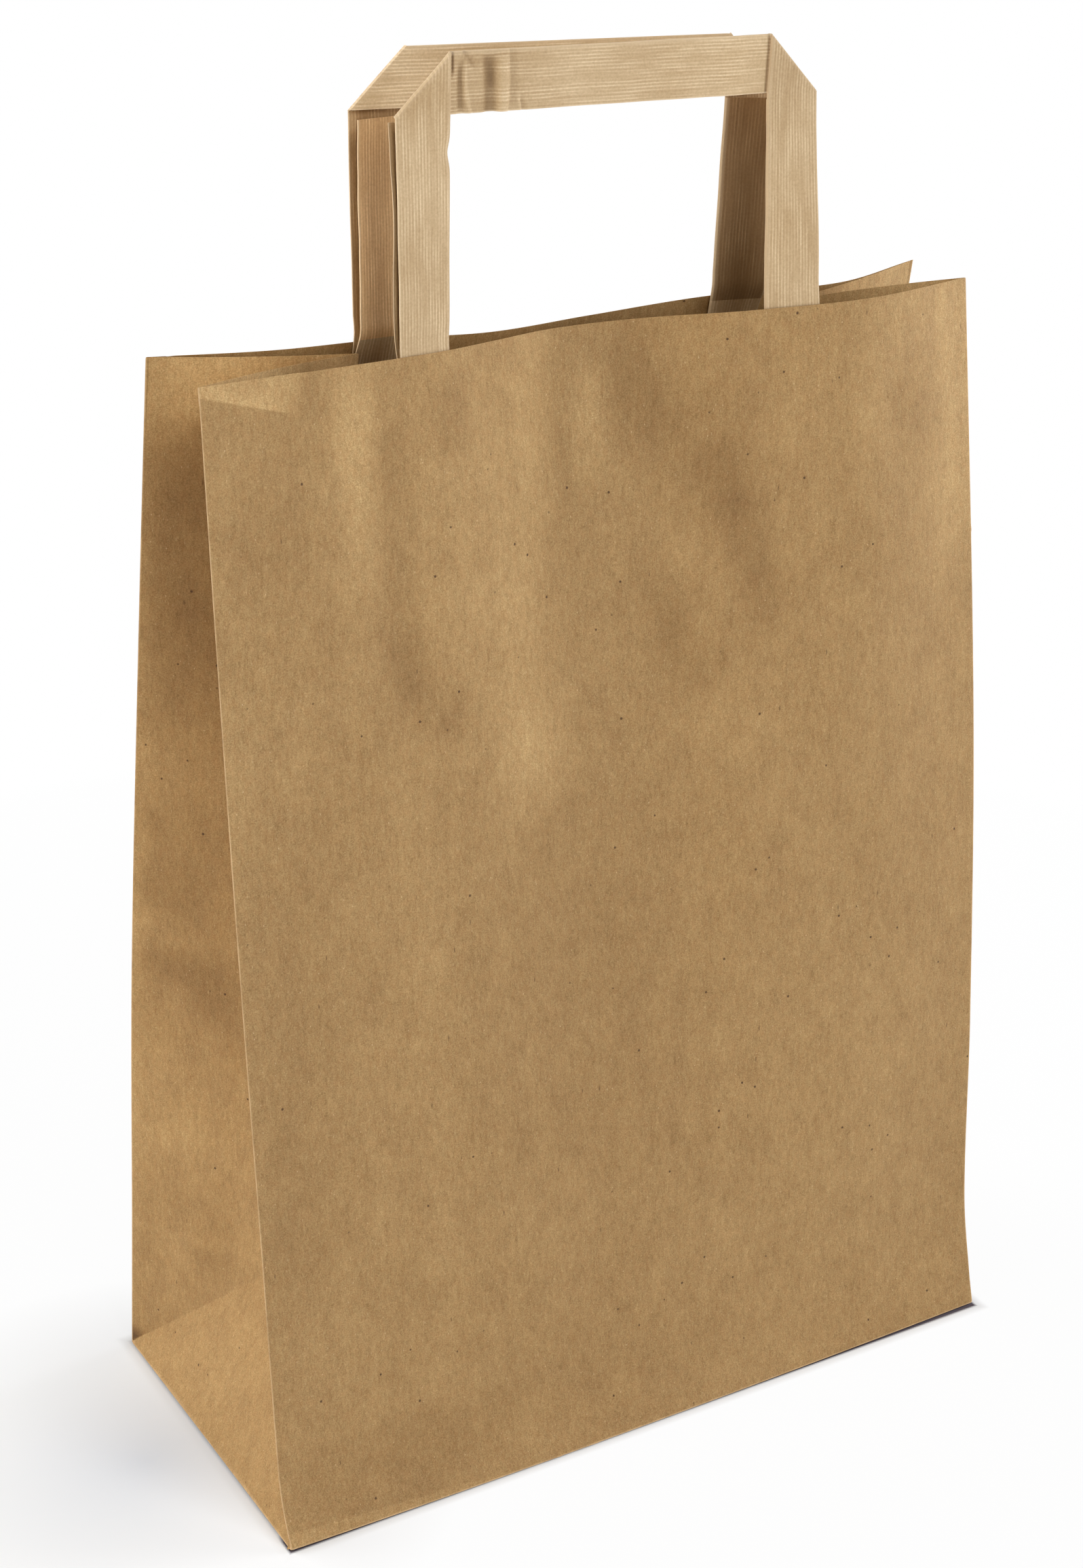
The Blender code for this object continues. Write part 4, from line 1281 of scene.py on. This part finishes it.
def floor_material():
    """White card, with a painted shadow beside the bag's left end and along its foot. The camera sees it
    glow, least beside the bag's left end, where the shadow lies.
    """
    make = Recipe("white card")
    place = make.object_place()
    parts = make.split(place)

    def distance_from(point):
        return make.add("ShaderNodeVectorMath", {0: place, 1: point}, operation="DISTANCE").outputs["Value"]

    def past(part, half_size):
        return make.math("SUBTRACT", make.math("ABSOLUTE", part), half_size)

    from_shadow = distance_from(SHADOW_PLACE)
    past_end = past(parts["X"], HALF_WIDTH)
    past_bag = make.math("MAXIMUM", past_end, past(parts["Y"], HALF_DEPTH + BASE_BULGE / 2))
    front_edge = CONTACT_REACH - HALF_DEPTH
    # Painted contact shadow under the bag and along its foot, weaker at the sides and the back.
    in_front = make.spread(parts["Y"], front_edge, front_edge + CONTACT_REACH, 1.0, CONTACT_SHADOW_ELSEWHERE)
    contact_shadow_share = make.math("MULTIPLY", make.spread(past_bag, 0.0, CONTACT_REACH / 4, 1.0, 0.0), in_front)
    card = make.mix(make.cloud(place, 40.0), WHITE, WHITER)
    # Painted shadow beside the bag's left end.
    card = make.mix(make.spread(from_shadow, *DEEP_SHADOW, 1.0, 0.0), card, SHADED_CARD)
    card = make.mix(contact_shadow_share, card, CONTACT_SHADOW)
    make.finish({"Base Color": card, "Roughness": 0.9, "Specular IOR Level": 0.1})
    rays = make.add("ShaderNodeLightPath").outputs
    seen = make.math("MAXIMUM", rays["Is Camera Ray"], rays["Is Glossy Ray"])
    seen = make.math("MAXIMUM", seen, rays["Is Transmission Ray"])
    near = make.spread(from_shadow, *SHADOW_REACH, GLOW_IN_SHADOW, GLOW_NEAR)
    far = make.spread(distance_from((0.0, 0.0, 0.0)), *OPEN_REACH)
    share = make.math("MULTIPLY", make.math("MAXIMUM", near, far), make.spread(past_bag, 0.0, CONTACT_REACH))
    glow = make.add("ShaderNodeEmission", {"Color": (1.0, 1.0, 1.0, 1.0), "Strength": 1.0})
    inputs = {0: make.math("MULTIPLY", seen, share), 1: make.shader.outputs[0], 2: glow.outputs[0]}
    both = make.add("ShaderNodeMixShader", inputs)
    make.links.new(both.outputs[0], make.output.inputs["Surface"])
    return make.material


floor = make_floor()
floor.data.materials.append(floor_material())

SUBJECT = Vector((0.0, 0.0, 0.2))
LAMP_SIZE = 1.4
NEUTRAL = (1.0, 1.0, 1.0)
WARM = (1.0, 0.92, 0.78)
LAMPS = (
    ("high_front", (0.3, -1.6, 2.2), 31.0, NEUTRAL),
    ("low_front", (0.4, -2.4, 0.5), 13.6, NEUTRAL),
    ("low_left", (-2.4, -0.2, 0.6), 36.0, WARM),
    ("high_back_left", (-1.2, 1.6, 2.0), 46.0, NEUTRAL),
    ("right_side", (2.2, -0.3, 1.0), 36.0, NEUTRAL),
)
for name, place, power, colour in LAMPS:
    lamp = bpy.data.lights.new(name, "AREA")
    lamp.size = LAMP_SIZE
    lamp.energy = power
    lamp.color = colour
    obj = bpy.data.objects.new(name, lamp)
    bpy.context.scene.collection.objects.link(obj)
    turn = (SUBJECT - Vector(place)).to_track_quat("-Z", "Y")
    obj.matrix_world = Matrix.Translation(place) @ turn.to_matrix().to_4x4()

ROOM_LIGHT = 0.01
BACKDROP = (0.8, 0.8, 0.8, 1.0)  # seen only past the floor's far edge, from other sides
world = bpy.data.worlds.new("studio")
world.use_nodes = True
bpy.context.scene.world = world
sky = world.node_tree
room = sky.nodes["Background"]
room.inputs["Color"].default_value = (1.0, 1.0, 1.0, 1.0)
room.inputs["Strength"].default_value = ROOM_LIGHT
backdrop = sky.nodes.new("ShaderNodeBackground")
backdrop.inputs["Color"].default_value = BACKDROP
backdrop.inputs["Strength"].default_value = 1.0
rays = sky.nodes.new("ShaderNodeLightPath")
choose = sky.nodes.new("ShaderNodeMixShader")
sky.links.new(rays.outputs["Is Camera Ray"], choose.inputs[0])
sky.links.new(room.outputs[0], choose.inputs[1])
sky.links.new(backdrop.outputs[0], choose.inputs[2])
sky.links.new(choose.outputs[0], sky.nodes["World Output"].inputs["Surface"])
bpy.context.scene.view_settings.view_transform = "Standard"

# The camera stands where the photograph was taken from, to the left of the front and a little above the
# bag, and looks down at its middle. Its lens is a little longer than a normal one.
CAMERA_PLACE = (-0.4120, -0.6645, 0.5520)
YAW, PITCH, ROLL = 0.5432, 0.4237, 0.0190
LENS, SENSOR = 63.75, 36.0
camera_data = bpy.data.cameras.new("camera")
camera_data.lens = LENS
camera_data.sensor_width = SENSOR
camera = bpy.data.objects.new("camera", camera_data)
bpy.context.scene.collection.objects.link(camera)
forward = Vector((math.sin(YAW) * math.cos(PITCH), math.cos(YAW) * math.cos(PITCH), -math.sin(PITCH)))
level = Vector((math.cos(YAW), -math.sin(YAW), 0.0))
upward = level.cross(forward)
right = level * math.cos(ROLL) + upward * math.sin(ROLL)
top = upward * math.cos(ROLL) - level * math.sin(ROLL)
camera.matrix_world = Matrix.Translation(CAMERA_PLACE) @ Matrix((right, top, -forward)).transposed().to_4x4()
bpy.context.scene.camera = camera
